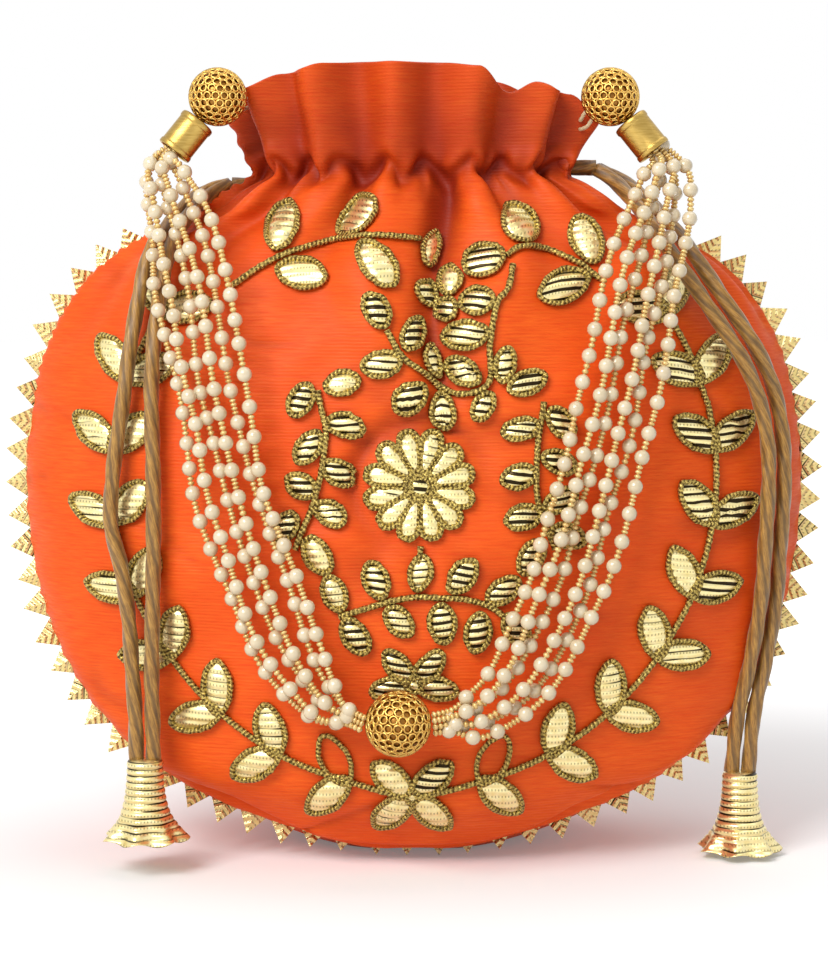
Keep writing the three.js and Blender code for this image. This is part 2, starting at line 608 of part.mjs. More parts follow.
function wreath(name, side) {
  const spots = [];
  for (let i = 0; i <= 2 * WREATH_PAIRS; i += 1) {
    spots.push(wreathSpot(side, i / (2 * WREATH_PAIRS)));
  }
  const curve = new THREE.SplineCurve(spots);
  const pieces = [vine(curve)];
  for (let k = 0; k < WREATH_PAIRS; k += 1) {
    const share = (k + WREATH_FIRST_SHARE) / (WREATH_PAIRS - WREATH_LAST_SHARE);
    const heading = curve.getTangentAt(share).angle();
    const base = curve.getPointAt(share);
    pieces.push(leaf(base, heading - side * degToRad(WREATH_OUTER_ANGLE), LEAF_LENGTH, LEAF_WIDTH));
    pieces.push(leaf(base, heading + side * degToRad(WREATH_INNER_ANGLE), LEAF_LENGTH, LEAF_WIDTH));
  }
  join(name, pieces);
}

wreath('wreath_left', -1);
wreath('wreath_right', 1);

// Flowers: petals round a middle disc. The petals start inside the disc, and their turns are in degrees.
const PETAL_START_SHARE = 0.6;

function flower(name, middle, petalTurns, length, width, disc) {
  const discStart = middle.clone().add(new THREE.Vector2(VINE_DIAMETER - disc, 0));
  const pieces = [leaf(discStart, 0, 2 * disc, 2 * disc)];
  for (const turn of petalTurns) {
    const heading = degToRad(turn);
    const towards = new THREE.Vector2(Math.cos(heading), Math.sin(heading));
    const base = middle.clone().addScaledVector(towards, disc * PETAL_START_SHARE);
    pieces.push(leaf(base, heading, length, width));
  }
  join(name, pieces);
}

const centreTurns = Array.from({ length: CENTRE_PETALS }, (_, k) => 360 * k / CENTRE_PETALS);
flower('centre_flower', place(1.5, 56), centreTurns,
  CENTRE_PETAL_LENGTH, CENTRE_PETAL_WIDTH, CENTRE_DISC_RADIUS);
flower('ball_flower', place(0, 28), [50, 130, 190, 350],
  SMALL_LEAF_LENGTH, SMALL_LEAF_WIDTH, BALL_DISC_RADIUS);
flower('bottom_flower', place(-0.5, 11.6), [42, 138, 222, 318],
  BOTTOM_PETAL_LENGTH, BOTTOM_PETAL_WIDTH, BOTTOM_DISC_RADIUS);

// Handle ends: an openwork ball tied to each corner of the frill, and a cap that points down and out
const beadHeight = TOP_HEIGHT - BEAD_BELOW_TOP;
const beadX = FRILL_HALF_WIDTH + BEAD_OUTSIDE_FRILL;

function ballMesh(name, centre, radius) {
  const geometry = new THREE.SphereGeometry(radius, ROUND_SIDES, BALL_RINGS);
  geometry.translate(centre.x, centre.y, centre.z);
  addMesh(name, geometry, brass);
}

function handleEnd(side, suffix) {
  const centre = new THREE.Vector3(side * beadX, -BEAD_FORWARD, beadHeight);
  const down = new THREE.Vector3(side * CAP_OUTWARDS, -CAP_FORWARD, -CAP_DOWN).normalize();
  ballMesh(`bead_${suffix}`, centre, BEAD_RADIUS);

  const profile = [[0, 0], [CAP_RADIUS, 0], [CAP_RADIUS, CAP_LENGTH], [CAP_RADIUS - CAP_WALL, CAP_LENGTH],
    [CAP_RADIUS - CAP_WALL, CAP_BASE], [0, CAP_BASE]];
  const cap = new THREE.LatheGeometry(profile.map(([r, h]) => new THREE.Vector2(r, h)), ROUND_SIDES);
  cap.applyQuaternion(new THREE.Quaternion().setFromUnitVectors(new THREE.Vector3(0, 1, 0), down));
  const seat = centre.clone().addScaledVector(down, BEAD_RADIUS + CLEARANCE);
  cap.translate(seat.x, seat.y, seat.z);
  addMesh(`cap_${suffix}`, cap, brass);

  const tieX = side * (FRILL_HALF_WIDTH - TIE_INSIDE_FRILL);
  const frillSpot = lay(tieX, beadHeight + TIE_RISE, CLEARANCE + TIE_DIAMETER / 2);
  const towards = frillSpot.point.clone().sub(centre).normalize();
  const tieEnd = centre.clone().addScaledVector(towards, BEAD_RADIUS + CLEARANCE);
  const across = new THREE.Vector3(0, 0, 1).cross(towards).normalize();
  const out = towards.clone().cross(across);
  const tie = tubeMesh([tieEnd, frillSpot.point].map((point) => {
    return { centre: point, across, out, radius: TIE_DIAMETER / 2 };
  }), TIE_SIDES);
  addMesh(`tie_${suffix}`, geometryFrom(tie.vertices, tie.triangles), thread);
  return [CAP_LENGTH - THREAD_IN_CAP, CAP_LENGTH + THREAD_IN_CAP].map((reach) => {
    return seat.clone().addScaledVector(down, reach);
  });
}

const BALL_PLACE = [-4.2, -61.6, 44];
const ballCentre = new THREE.Vector3(...BALL_PLACE);
ballMesh('handle_ball', ballCentre, BALL_RADIUS);

// Pearl strands: six on each side, spread flat over the belly and drawn together in two layers at both
// ends. The routes run from the cap to the ball in the middle of the handle.
const LEFT_BUNDLE = [
  [-66, -28.5, 183], [-62, -35, 171], [-59.5, -41, 160], [-56, -47.6, 142], [-51.5, -50.2, 121],
  [-48, -52.2, 102.5], [-41, -54.2, 81.6], [-33.5, -55, 63], [-23.5, -56.5, 49],
];
const RIGHT_BUNDLE = [
  [67, -29, 183], [63.5, -35.5, 171], [59.5, -43, 156], [54, -48.2, 130],
  [47, -52.4, 103], [39, -54.4, 77], [29, -55.4, 57], [17, -57, 46.5],
];
const FULL_SPREAD_SHARE = 0.3;
const THREAD_END = 13;
const END_CLOSENESS = 0.45;
const END_TILT_ANGLE = 60;

function wayOut(point) {
  return new THREE.Vector3(
    point.x / BAG_HALF_WIDTH ** 2,
    point.y / BELLY_DEPTH ** 2,
    (point.z - WIDEST_HEIGHT) / BAG_HALF_WIDTH ** 2,
  ).normalize();
}

function pearlStrands(side, suffix, start, bundle) {
  const end = ballCentre.clone().add(new THREE.Vector3(side * (BALL_RADIUS + CLEARANCE), 0, 0));
  const points = [...start, ...bundle.map((p) => new THREE.Vector3(...p)), end];
  const route = new THREE.CatmullRomCurve3(points, false, 'centripetal');
  const length = route.getLength();
  const pearls = Math.round((length - 2 * THREAD_END) / PEARL_PITCH);
  const knots = [{ share: 0 }, { share: (THREAD_IN_CAP + CLEARANCE) / length }];
  for (let k = 0; k <= 2 * pearls; k += 1) {
    const reach = THREAD_END + (length - 2 * THREAD_END) * k / (2 * pearls);
    knots.push({ share: reach / length, isPearl: k % 2 === 1 });
  }
  knots.push({ share: 1 - THREAD_IN_CAP / length }, { share: 1 });
  for (let i = 0; i < STRANDS; i += 1) {
    const rings = knots.map(({ share, isPearl }) => {
      const along = route.getTangentAt(share);
      const point = route.getPointAt(share);
      const out = wayOut(point);
      const across = out.clone().cross(along).normalize();
      const fromEnd = Math.min(share, 1 - share);
      const tilt = degToRad(END_TILT_ANGLE) * (1 - smoothstep(fromEnd, 0, FULL_SPREAD_SHARE));
      const draw = lerp(END_CLOSENESS, 1, smoothstep(fromEnd * length, THREAD_IN_CAP, THREAD_END));
      const centre = point
        .addScaledVector(across, draw * STRAND_GAP * Math.cos(tilt) * (i - (STRANDS - 1) / 2))
        .addScaledVector(out, draw * STRAND_GAP * Math.sin(tilt) * ((i % 2) - 0.5 * (1 - draw)));
      const level = out.clone().addScaledVector(along, -out.dot(along)).normalize();
      return { centre, across, out: level, radius: isPearl ? PEARL_RADIUS : THREAD_RADIUS };
    });
    const strand = tubeMesh(rings, STRAND_SIDES);
    addMesh(`pearl_strand_${suffix}_${i + 1}`, geometryFrom(strand.vertices, strand.triangles), pearl);
  }
}

pearlStrands(-1, 'left', handleEnd(-1, 'left'), LEFT_BUNDLE);
pearlStrands(1, 'right', handleEnd(1, 'right'), RIGHT_BUNDLE);

export default potli;
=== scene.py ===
import math
import random

import bmesh
import bpy
from mathutils import Matrix, Vector, noise
from mathutils.bvhtree import BVHTree


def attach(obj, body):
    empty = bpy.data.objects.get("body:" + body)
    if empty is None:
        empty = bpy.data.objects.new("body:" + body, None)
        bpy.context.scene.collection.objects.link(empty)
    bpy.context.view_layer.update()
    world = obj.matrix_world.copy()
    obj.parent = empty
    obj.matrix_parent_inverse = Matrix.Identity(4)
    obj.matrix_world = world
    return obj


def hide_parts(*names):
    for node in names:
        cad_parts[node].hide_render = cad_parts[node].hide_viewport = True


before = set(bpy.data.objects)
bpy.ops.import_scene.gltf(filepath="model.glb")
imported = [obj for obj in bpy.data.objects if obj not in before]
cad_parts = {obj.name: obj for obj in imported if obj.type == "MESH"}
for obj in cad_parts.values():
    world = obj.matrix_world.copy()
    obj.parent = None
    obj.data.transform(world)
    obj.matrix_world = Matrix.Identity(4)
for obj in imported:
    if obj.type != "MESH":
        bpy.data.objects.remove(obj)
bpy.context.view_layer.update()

# Studio: a plain pale floor and soft light from the upper left, white wherever the camera looks past the
# pouch. The camera stands 780 mm in front of the edge seam, a little above the middle of the pouch. Each
# lamp has its place, its size and its power.
MM = 0.001
CAMERA_PLACE = Vector((0, -780, 170))
CAMERA_AIM = Vector((0, 0, 102))
VIEW_WIDTH = 235.2
LAMPS = {"key": (Vector((-750, -1150, 1150)), 900, 24), "top": (Vector((350, 250, 1500)), 1200, 5)}
SKY_LEVEL = 0.34
WHITE = "#ffffff"
FLOOR_HALF_WIDTH = 4000
FLOOR_COLOUR = "#f2f2f2"
FLOOR_GLOW = (0.16, 0.75)
GLOW_REACH = (80, 500)

scene = bpy.context.scene
scene.view_settings.view_transform = "Standard"


def linear(hex_colour):
    """An sRGB hex colour as linear red, green, blue and alpha."""
    channels = [int(hex_colour[i:i + 2], 16) / 255 for i in (1, 3, 5)]
    return (*[c / 12.92 if c <= 0.04045 else ((c + 0.055) / 1.055) ** 2.4 for c in channels], 1)


def plug(node, inputs):
    """Gives each named input of a node a value, or a link from another node's output."""
    for name, value in inputs.items():
        if isinstance(value, bpy.types.NodeSocket):
            node.id_data.links.new(value, node.inputs[name])
        else:
            node.inputs[name].default_value = value


def add_node(tree, kind, inputs, out=0, **settings):
    """One shader node with its settings and inputs, given back as the output that is used."""
    node = tree.nodes.new("ShaderNode" + kind)
    for name, value in settings.items():
        setattr(node, name, value)
    plug(node, inputs)
    return node.outputs[out]


def start_material(name):
    """A new material, with its node tree and its shader."""
    material = bpy.data.materials.new(name)
    material.use_nodes = True
    return material, material.node_tree, material.node_tree.nodes["Principled BSDF"]


def make_object(name, bm, *materials):
    """The finished mesh, modelled in millimetres, as an object at the origin."""
    bmesh.ops.scale(bm, vec=(MM, MM, MM), verts=bm.verts)
    mesh = bpy.data.meshes.new(name)
    bm.to_mesh(mesh)
    bm.free()
    for material in materials:
        mesh.materials.append(material)
    made = bpy.data.objects.new(name, mesh)
    scene.collection.objects.link(made)
    return made


def seen_directly(tree):
    """1 where the ray comes from the camera, a mirror or glass, and 0 where it only lights."""
    camera_ray = add_node(tree, "LightPath", {}, "Is Camera Ray")
    rays = camera_ray.node.outputs
    mirrored = add_node(tree, "Math", {0: rays["Is Glossy Ray"], 1: rays["Is Transmission Ray"]},
                        operation="MAXIMUM")
    return add_node(tree, "Math", {0: camera_ray, 1: mirrored}, operation="MAXIMUM")


camera_data = bpy.data.cameras.new("camera")
camera_data.sensor_fit = "HORIZONTAL"
camera_data.lens = camera_data.sensor_width * (CAMERA_AIM - CAMERA_PLACE).length / VIEW_WIDTH
camera = bpy.data.objects.new("camera", camera_data)
camera.location = CAMERA_PLACE * MM
camera.rotation_euler = (CAMERA_AIM - CAMERA_PLACE).to_track_quat("-Z", "Y").to_euler()
scene.collection.objects.link(camera)
scene.camera = camera

for lamp_name, (place, size, power) in LAMPS.items():
    lamp_data = bpy.data.lights.new(lamp_name, "AREA")
    lamp_data.size = size * MM
    lamp_data.energy = power
    lamp = bpy.data.objects.new(lamp_name, lamp_data)
    lamp.location = place * MM
    lamp.rotation_euler = (CAMERA_AIM - place).to_track_quat("-Z", "Y").to_euler()
    scene.collection.objects.link(lamp)

scene.world = bpy.data.worlds.new("studio")
scene.world.use_nodes = True
tree = scene.world.node_tree
sky_strength = add_node(tree, "Math", {0: seen_directly(tree), 1: 1 - SKY_LEVEL, 2: SKY_LEVEL},
                        operation="MULTIPLY_ADD")
plug(tree.nodes["Background"], {"Strength": sky_strength, "Color": linear(WHITE)})

# Matt white paint: no shine, a soft shadow under the pouch, and white farther out.
floor_paint, tree, shader = start_material("pale_floor")
place = add_node(tree, "TexCoord", {}, "Object")
from_middle = add_node(tree, "VectorMath", {0: place}, "Value", operation="LENGTH")
far_glow = add_node(tree, "MapRange", {
    "Value": from_middle, "From Min": GLOW_REACH[0] * MM, "From Max": GLOW_REACH[1] * MM,
    "To Min": FLOOR_GLOW[0], "To Max": FLOOR_GLOW[1]})
glow = add_node(tree, "Math", {0: seen_directly(tree), 1: far_glow}, operation="MULTIPLY")
plug(shader, {"Base Color": linear(FLOOR_COLOUR), "Roughness": 0.9, "Specular IOR Level": 0.0,
              "Emission Color": linear(WHITE), "Emission Strength": glow})
floor_mesh = bmesh.new()
bmesh.ops.create_grid(floor_mesh, x_segments=1, y_segments=1, size=FLOOR_HALF_WIDTH)
floor = make_object("floor", floor_mesh, floor_paint)

# Silk pouch: two round panels of orange dupion silk, cut flat, sewn to each other round the edge and
# gathered at the neck by the drawcords. Above the neck the silk stands up as a loose, folded frill. The
# front is pulled in where the flower is sewn on, with a crease that runs up from it to the neck.
BAG_HALF_WIDTH = 110
WIDEST_HEIGHT = 112
LOWER_SQUARENESS = 2.35
BELLY_DEPTH = 52
BACK_DEPTH = 54.35
BELLY_HEIGHT = 92
BELLY_RISE = 1.35
BELLY_ROUNDNESS = 1.1
BELLY_FLATNESS = 0.75
BELLY_ANGLES = ((43, 40), (56, 61), (70, 78), (85, 90))
FOOT_DEPTHS = (9, 28)
FOOT_ANGLES = (14, 30)
FOOT_FLATNESS = 0.9
FOOT_ROUND = (20, 50)
FOOT_CURVE = 1.4
FLOOR_CLEARANCE = 0.1
NECK_HEIGHT = 189
NECK_HALF_WIDTH = 44
NECK_DEPTH = 20
NECK_ROUNDNESS = 0.8
FRILL_HEIGHT = 30
FRILL_HALF_WIDTH = 51
FRILL_DEPTH = 27
FRILL_FOLD = 3.4
FRONT_CROWN = [(-60, 22), (-48, 23.5), (-36, 27.5), (-24, 30), (-8, 30), (8, 30), (18, 29), (26, 22),
               (33, 25), (43, 22), (52, 15), (62, 12)]
BACK_CROWN = [(-60, 22), (-48, 23.5), (-20, 28), (0, 27), (20, 28), (43, 20), (52, 15), (62, 12)]
SILK_THICKNESS = 1.2
RIM_GAP = 0.2
CLOSED_GAP = 0.02
SLIT_HALF_WIDTH = 4.95
SLIT_HALF_HEIGHT = 6
FRILL_SHARES = (SLIT_HALF_HEIGHT / FRILL_HEIGHT, 0.45, 0.72, 1)
SEAM_LIFT = 6.6
SEAM_FORWARD = 24
FORWARD_REACH = 42
FRONT_LIFT = 6.5
SIDE_LIFT = 5.5
SIDE_LIFT_REACH = 55
LIFT_HEIGHT = 32
LIFT_DEPTHS = (2, 12)
TRIM_TOP_HEIGHT = 172
SHOULDER = [Vector(p) for p in ((0, 1), (0.4, 0.89), (0.69, 0.64), (0.87, 0.22), (1, 0))]
SHOULDER_STEPS = 8
GATHERS = 7
GATHER_REACH = 23
GATHER_DEPTH = 2.2
GATHER_SHADE = 0.45
PANEL_COLUMNS = 224
PANEL_ROWS = 180


def mix(start, end, share):
    return start + (end - start) * share


def ease(value, low, high):
    """0 below low, 1 above high, and smooth between them."""
    share = min(max((value - low) / (high - low), 0), 1)
    return share * share * (3 - 2 * share)


def bump_at(value, centre, width):
    """A smooth hump of height 1."""
    return math.exp(-((value - centre) / width) ** 2)


def spline(points, share):
    """A point on the smooth curve through evenly counted points."""
    place = share * (len(points) - 1)
    i = min(int(place), len(points) - 2)
    w = place - i
    start = points[i]
    end = points[i + 1]
    leave = (end - points[max(i - 1, 0)]) / 2
    arrive = (points[min(i + 2, len(points) - 1)] - start) / 2
    cubic = 2 * (start - end) + leave + arrive
    square = 3 * (end - start) - 2 * leave - arrive
    return cubic * w ** 3 + square * w * w + leave * w + start


def lower_seam(degrees):
    """Half width and height of the lower edge seam, at an angle from straight down."""
    angle = math.radians(degrees)
    power = 2 / LOWER_SQUARENESS
    drop = (WIDEST_HEIGHT - SEAM_LIFT) * math.cos(angle) ** power
    return BAG_HALF_WIDTH * math.sin(angle) ** power, WIDEST_HEIGHT - drop


def shoulder_point(share, wide, narrow, low):
    rise, spread = spline(SHOULDER, share)
    return mix(narrow, wide, spread), mix(low, NECK_HEIGHT, rise)


def panel_rows(belly_depth):
    """Half width and height at the seam, depth and height in the middle, from the bottom to the frill."""
    rows = [(0, SEAM_LIFT, RIM_GAP, SEAM_LIFT)]
    for seam_angle, foot_depth in zip(FOOT_ANGLES, FOOT_DEPTHS):
        rows.append((*lower_seam(seam_angle), foot_depth, 0))
    for seam_angle, belly_angle in BELLY_ANGLES:
        belly = math.radians(belly_angle)
        depth = mix(FOOT_DEPTHS[-1], belly_depth, math.sin(belly))
        height = BELLY_HEIGHT * (1 - math.cos(belly)) ** BELLY_RISE
        rows.append((*lower_seam(seam_angle), depth, height))
    for i in range(1, SHOULDER_STEPS + 1):
        share = i / SHOULDER_STEPS
        seam = shoulder_point(share, BAG_HALF_WIDTH, NECK_HALF_WIDTH, WIDEST_HEIGHT)
        rows.append((*seam, *shoulder_point(share, belly_depth, NECK_DEPTH, BELLY_HEIGHT)))
    for share in FRILL_SHARES:
        height = NECK_HEIGHT + FRILL_HEIGHT * share
        half_width = mix(NECK_HALF_WIDTH, FRILL_HALF_WIDTH, share)
        rows.append((half_width, height, mix(NECK_DEPTH, FRILL_DEPTH, share), height))
    return [Vector(row) for row in rows]


def crown_height(crown, x):
    """The height of the frill's edge above the neck."""
    for (low, start), (high, end) in zip(crown, crown[1:]):
        if x <= high:
            return mix(start, end, ease(x, low, high))
    return crown[-1][1]


FORWARD_TOP = lower_seam(BELLY_ANGLES[-1][0])[1]


def seam_forward(height):
    """How far the lower seam lies in front of the edge's plane: the filled pouch leans back on it."""
    return SEAM_FORWARD * max(0, 1 - height / FORWARD_TOP)


def panel_point(rows, crown, side, turn, level):
    """A place on a smooth panel, and the painted shade in the valleys of its gathers, from 0 to 1."""
    half_width, seam_height, depth, mid_height = spline(rows, level)
    neck = ease(seam_height, NECK_HEIGHT - GATHER_REACH, NECK_HEIGHT)
    frill = ease(seam_height, NECK_HEIGHT, NECK_HEIGHT + FRILL_HEIGHT)
    gather = GATHER_DEPTH * neck + (FRILL_FOLD - GATHER_DEPTH) * frill
    slit = 1 - ease(abs(seam_height - NECK_HEIGHT), SLIT_HALF_HEIGHT, 2 * SLIT_HALF_HEIGHT)
    closed = ease(seam_height, TRIM_TOP_HEIGHT, NECK_HEIGHT - 2 * SLIT_HALF_HEIGHT)
    rim = mix(mix(RIM_GAP, CLOSED_GAP, closed), SLIT_HALF_WIDTH, slit)
    flatness = mix(FOOT_FLATNESS, BELLY_FLATNESS, ease(seam_height, *FOOT_ROUND))
    angle = math.pi * (turn - 0.5)
    across = math.sin(angle)
    out = max(math.cos(angle), 0)
    swing = math.sin(2 * math.pi * GATHERS * turn)
    x = (half_width + gather * swing) * across
    y = rim + (depth - rim) * out ** mix(BELLY_ROUNDNESS, NECK_ROUNDNESS, neck) + gather * swing * out
    z = mix(seam_height, mid_height, 1 - (1 - min(1, out * out / flatness)) ** FOOT_CURVE)
    if side > 0:
        lift = FRONT_LIFT + SIDE_LIFT * min(1, (x / SIDE_LIFT_REACH) ** 2)
        z += lift * (1 - ease(z, 0, LIFT_HEIGHT)) * ease(y, *LIFT_DEPTHS)
    forward = seam_forward(z) * (1 - ease(y, 0, FORWARD_REACH))
    if z > NECK_HEIGHT:
        z = NECK_HEIGHT + (z - NECK_HEIGHT) * crown_height(crown, x) / FRILL_HEIGHT
    place = Vector((x, -side * y - forward, max(z, FLOOR_CLEARANCE)))
    return place, GATHER_SHADE * neck * (0.5 - 0.5 * swing)


# Creases of the cloth: how far each kind stands out in millimetres, and how much painted shade it puts on the
# silk.
# The waves have a width and a height in millimetres, and a seed for the front and for the back.
CREASES = {
    "soft": (1.3, 0), "fine": (0.45, 0), "wrinkle": (-0.8, 0.25), "pleat": (0.5, 0), "pleat_gap_shade": (0, 0.2),
    "run": (1.5, 0), "run_gap_shade": (0, 0.15), "puff": (2.0, 0), "pinch": (-2.4, 0.4), "pinch_shade": (0, 0.4),
    "pucker": (0.7, 0), "pucker_gap_shade": (0, 0.25), "ridge": (1.2, 0), "ring": (-2.4, 0.5),
    "valley": (-4.6, 0.6), "dish": (-1.2, 0)}
SOFT_WAVES = (26, 18, 4, 9)
FINE_WAVES = (10, 8, 14, 19)
WRINKLE_LINES = (44, 24, 31, 37)
WRINKLE_PATCHES = (33, 33, 41, 47)
WRINKLE_WIDTH = 0.06
WRINKLE_EDGE = 0.3
WRINKLE_TOP = (165, 180)
PLEATS = 23
PLEAT_REACH = 6
PLEAT_DRIFT = 0.014
DRIFT_WAVES = 9
DRIFT_HEIGHT = 30
PUFFS = 12
PUFF_DROP = 8
PINCH_RISE = 1
PINCH_SWAY = 2.2
PINCH_WIDTH = 2.6
PINCH_SHADE = (9, 10)
RUN_DROP = 26
RUN_REACH = 20
RUN_SWAY = 2
FLOWER_X = 1.6
FLOWER_HEIGHT = 105.8
FLOWER_REACH = 18
RING_WIDTH = 2.6
RING_SIDE = 2.2
PUCKERS = 9
PUCKER_SWAY = 3
PUCKER_REACH = (27, 8)
VALLEY_ASIDE = 6
VALLEY_SWAY = 3
VALLEY_BEND = 14
VALLEY_WIDTH = 4.8
VALLEY_FOOT = (119.8, 141.8)
VALLEY_TOP = (182, 192)
RIDGE_REACH = (16, 7)
RIDGE_FOOT = (128, 145)
RIDGE_TOP = (165, 185)
SEAM_SHARE = 0.06
SEAM_PUCKER = 0.5
SEAM_PUCKER_PLACE = (0.03, 0.02)
SEAM_PUCKER_WAVES = (0.9, 1.5)
SMOOTH_FOOT = 12
SILK_MERGE = 0.02


def cloth_relief(x, z, turn, decorated):
    """How far the silk stands out of its smooth form, and how much painted shade its creases put there."""
    def waves(width, height, front_seed, back_seed):
        return noise.noise(Vector((x / width, z / height, front_seed if decorated else back_seed)))

    soft = waves(*SOFT_WAVES)
    drift = PLEAT_DRIFT * noise.noise(Vector((turn * DRIFT_WAVES, z / DRIFT_HEIGHT, 2)))
    circle = 2 * math.pi * (turn + drift)
    puff = math.sin(PUFFS * circle)
    pleat = math.sin(PLEATS * circle) * bump_at(z, NECK_HEIGHT, PLEAT_REACH)
    run = math.sin(GATHERS * circle + RUN_SWAY * soft) * bump_at(z, NECK_HEIGHT - RUN_DROP, RUN_REACH)
    pinch_height = NECK_HEIGHT + PINCH_RISE + PINCH_SWAY * puff
    line = bump_at(waves(*WRINKLE_LINES), 0, WRINKLE_WIDTH)
    patch = ease(waves(*WRINKLE_PATCHES), 0, WRINKLE_EDGE)
    amounts = {
        "soft": soft, "fine": waves(*FINE_WAVES), "wrinkle": line * patch * (1 - ease(z, *WRINKLE_TOP)),
        "pleat": pleat, "pleat_gap_shade": max(-pleat, 0), "run": run, "run_gap_shade": max(-run, 0),
        "puff": (0.5 + 0.5 * puff) * bump_at(z, NECK_HEIGHT - PUFF_DROP, PUFF_DROP),
        "pinch": bump_at(z, pinch_height, PINCH_WIDTH),
        "pinch_shade": bump_at(z, pinch_height + PINCH_SHADE[0], PINCH_SHADE[1])}
    if decorated:
        reach = math.hypot(x - FLOWER_X, z - FLOWER_HEIGHT)
        around = math.atan2(z - FLOWER_HEIGHT, x - FLOWER_X)
        pucker = math.sin(PUCKERS * around + PUCKER_SWAY * soft) * bump_at(reach, *PUCKER_REACH)
        aside = x - FLOWER_X - VALLEY_ASIDE - VALLEY_SWAY * math.sin(z / VALLEY_BEND)
        amounts |= {
            "pucker": pucker, "pucker_gap_shade": max(-pucker, 0), "dish": bump_at(reach, 0, FLOWER_REACH),
            "ring": bump_at(reach, FLOWER_REACH, RING_WIDTH) * (0.5 + 0.5 * math.cos(around - RING_SIDE)),
            "valley": bump_at(aside, 0, VALLEY_WIDTH) * ease(z, *VALLEY_FOOT) * (1 - ease(z, *VALLEY_TOP)),
            "ridge": bump_at(abs(aside), *RIDGE_REACH) * ease(z, *RIDGE_FOOT) * (1 - ease(z, *RIDGE_TOP))}
    return [sum(CREASES[kind][i] * amount for kind, amount in amounts.items()) for i in (0, 1)]


def smooth(faces):
    for face in faces:
        face.smooth = True


def silk_panel(belly_depth, crown, side):
    bm = bmesh.new()
    bmesh.ops.create_grid(bm, x_segments=PANEL_COLUMNS, y_segments=PANEL_ROWS, size=0.5)
    fold_shade_layer = bm.verts.layers.float.new("fold_shade")
    rows = panel_rows(belly_depth)
    turns = []
    for vertex in bm.verts:
        turn = vertex.co.x + 0.5
        turns.append(turn)
        vertex.co, vertex[fold_shade_layer] = panel_point(rows, crown, side, turn, vertex.co.y + 0.5)
    if side < 0:
        bmesh.ops.reverse_faces(bm, faces=bm.faces)
    bm.normal_update()
    for vertex, turn in zip(bm.verts, turns):
        x, _, z = vertex.co
        relief, crease_shade = cloth_relief(x, z, turn, side > 0)
        from_seam = min(turn, 1 - turn)
        inland = ease(from_seam, 0, SEAM_SHARE)
        swing = math.sin(x * SEAM_PUCKER_WAVES[0] + z * SEAM_PUCKER_WAVES[1])
        stitched = SEAM_PUCKER * swing * bump_at(from_seam, *SEAM_PUCKER_PLACE)
        vertex.co += vertex.normal * (relief * inland + stitched) * ease(z, 0, SMOOTH_FOOT)
        # Painted shade: the creases' darkening is added to the gathers' painted shade, to darken the silk's
        # colour.
        vertex[fold_shade_layer] = min(vertex[fold_shade_layer] + crease_shade * inland, 1)
    bmesh.ops.remove_doubles(bm, verts=bm.verts, dist=SILK_MERGE)
    smooth(bm.faces)
    return bm


# Dupion is woven plainly from uneven silk: long thick threads, called slubs, run across it, and it has a
# soft sheen. Thread spacing is 0.4 mm on the real cloth and is drawn at 0.9 mm, so that it shows. Shade is
# painted into its folds and creases, darker and redder, and over the frill. A wave texture of scale 1 repeats
# at WAVE_PERIOD.
SILK_LIGHT = "#fc6a1c"
SILK_DEEP = "#ea4c10"
# Painted shade colour for the silk in its folds and creases.
SILK_CREASE_SHADE = "#8a2208"
# Painted shade colour for the frill.
FRILL_SHADE_RED = "#a42a0a"
SILK_SHEEN = "#ff8a3c"
FRILL_START = (NECK_HEIGHT - 6, NECK_HEIGHT + 8)
SLUB_LENGTH = 7
SLUB_HEIGHT = 0.55
PATCH_SIZE = 35.7
THREAD_SPACING = 0.9
WAVE_PERIOD = 0.314

silk, tree, shader = start_material("dupion_silk")
place = add_node(tree, "TexCoord", {}, "Object")
slub_scale = [1 / (size * MM) for size in (SLUB_LENGTH, SLUB_LENGTH, SLUB_HEIGHT)]
slub_place = add_node(tree, "Mapping", {"Vector": place, "Scale": slub_scale})
slub = add_node(tree, "TexNoise", {"Vector": slub_place, "Scale": 1.0, "Detail": 4.0, "Roughness": 0.65})
patches = add_node(tree, "TexNoise", {"Vector": place, "Scale": 1 / (PATCH_SIZE * MM), "Detail": 2.0})
weave = add_node(tree, "TexWave", {
    "Vector": place, "Scale": WAVE_PERIOD / (THREAD_SPACING * MM), "Distortion": 1.5, "Detail": 1.0,
    "Detail Scale": 0.6}, bands_direction="Z")
tone = add_node(tree, "MapRange", {"Value": slub, "From Min": 0.25, "From Max": 0.75})
mottled = add_node(tree, "Math", {0: tone, 1: patches}, operation="MULTIPLY")
light_share = add_node(tree, "Math", {0: mottled, 1: 1.7}, operation="MULTIPLY", use_clamp=True)
colour = add_node(tree, "Mix", {0: light_share, 6: linear(SILK_DEEP), 7: linear(SILK_LIGHT)}, 2,
                  data_type="RGBA")
# Painted shade: the silk's colour is mixed towards the crease shade where the attribute marks folds and
# creases.
painted_fold_shade = add_node(tree, "Attribute", {}, "Fac", attribute_name="fold_shade")
colour = add_node(tree, "Mix", {0: painted_fold_shade, 6: colour, 7: linear(SILK_CREASE_SHADE)}, 2, data_type="RGBA")
height = add_node(tree, "SeparateXYZ", {0: place}, "Z")
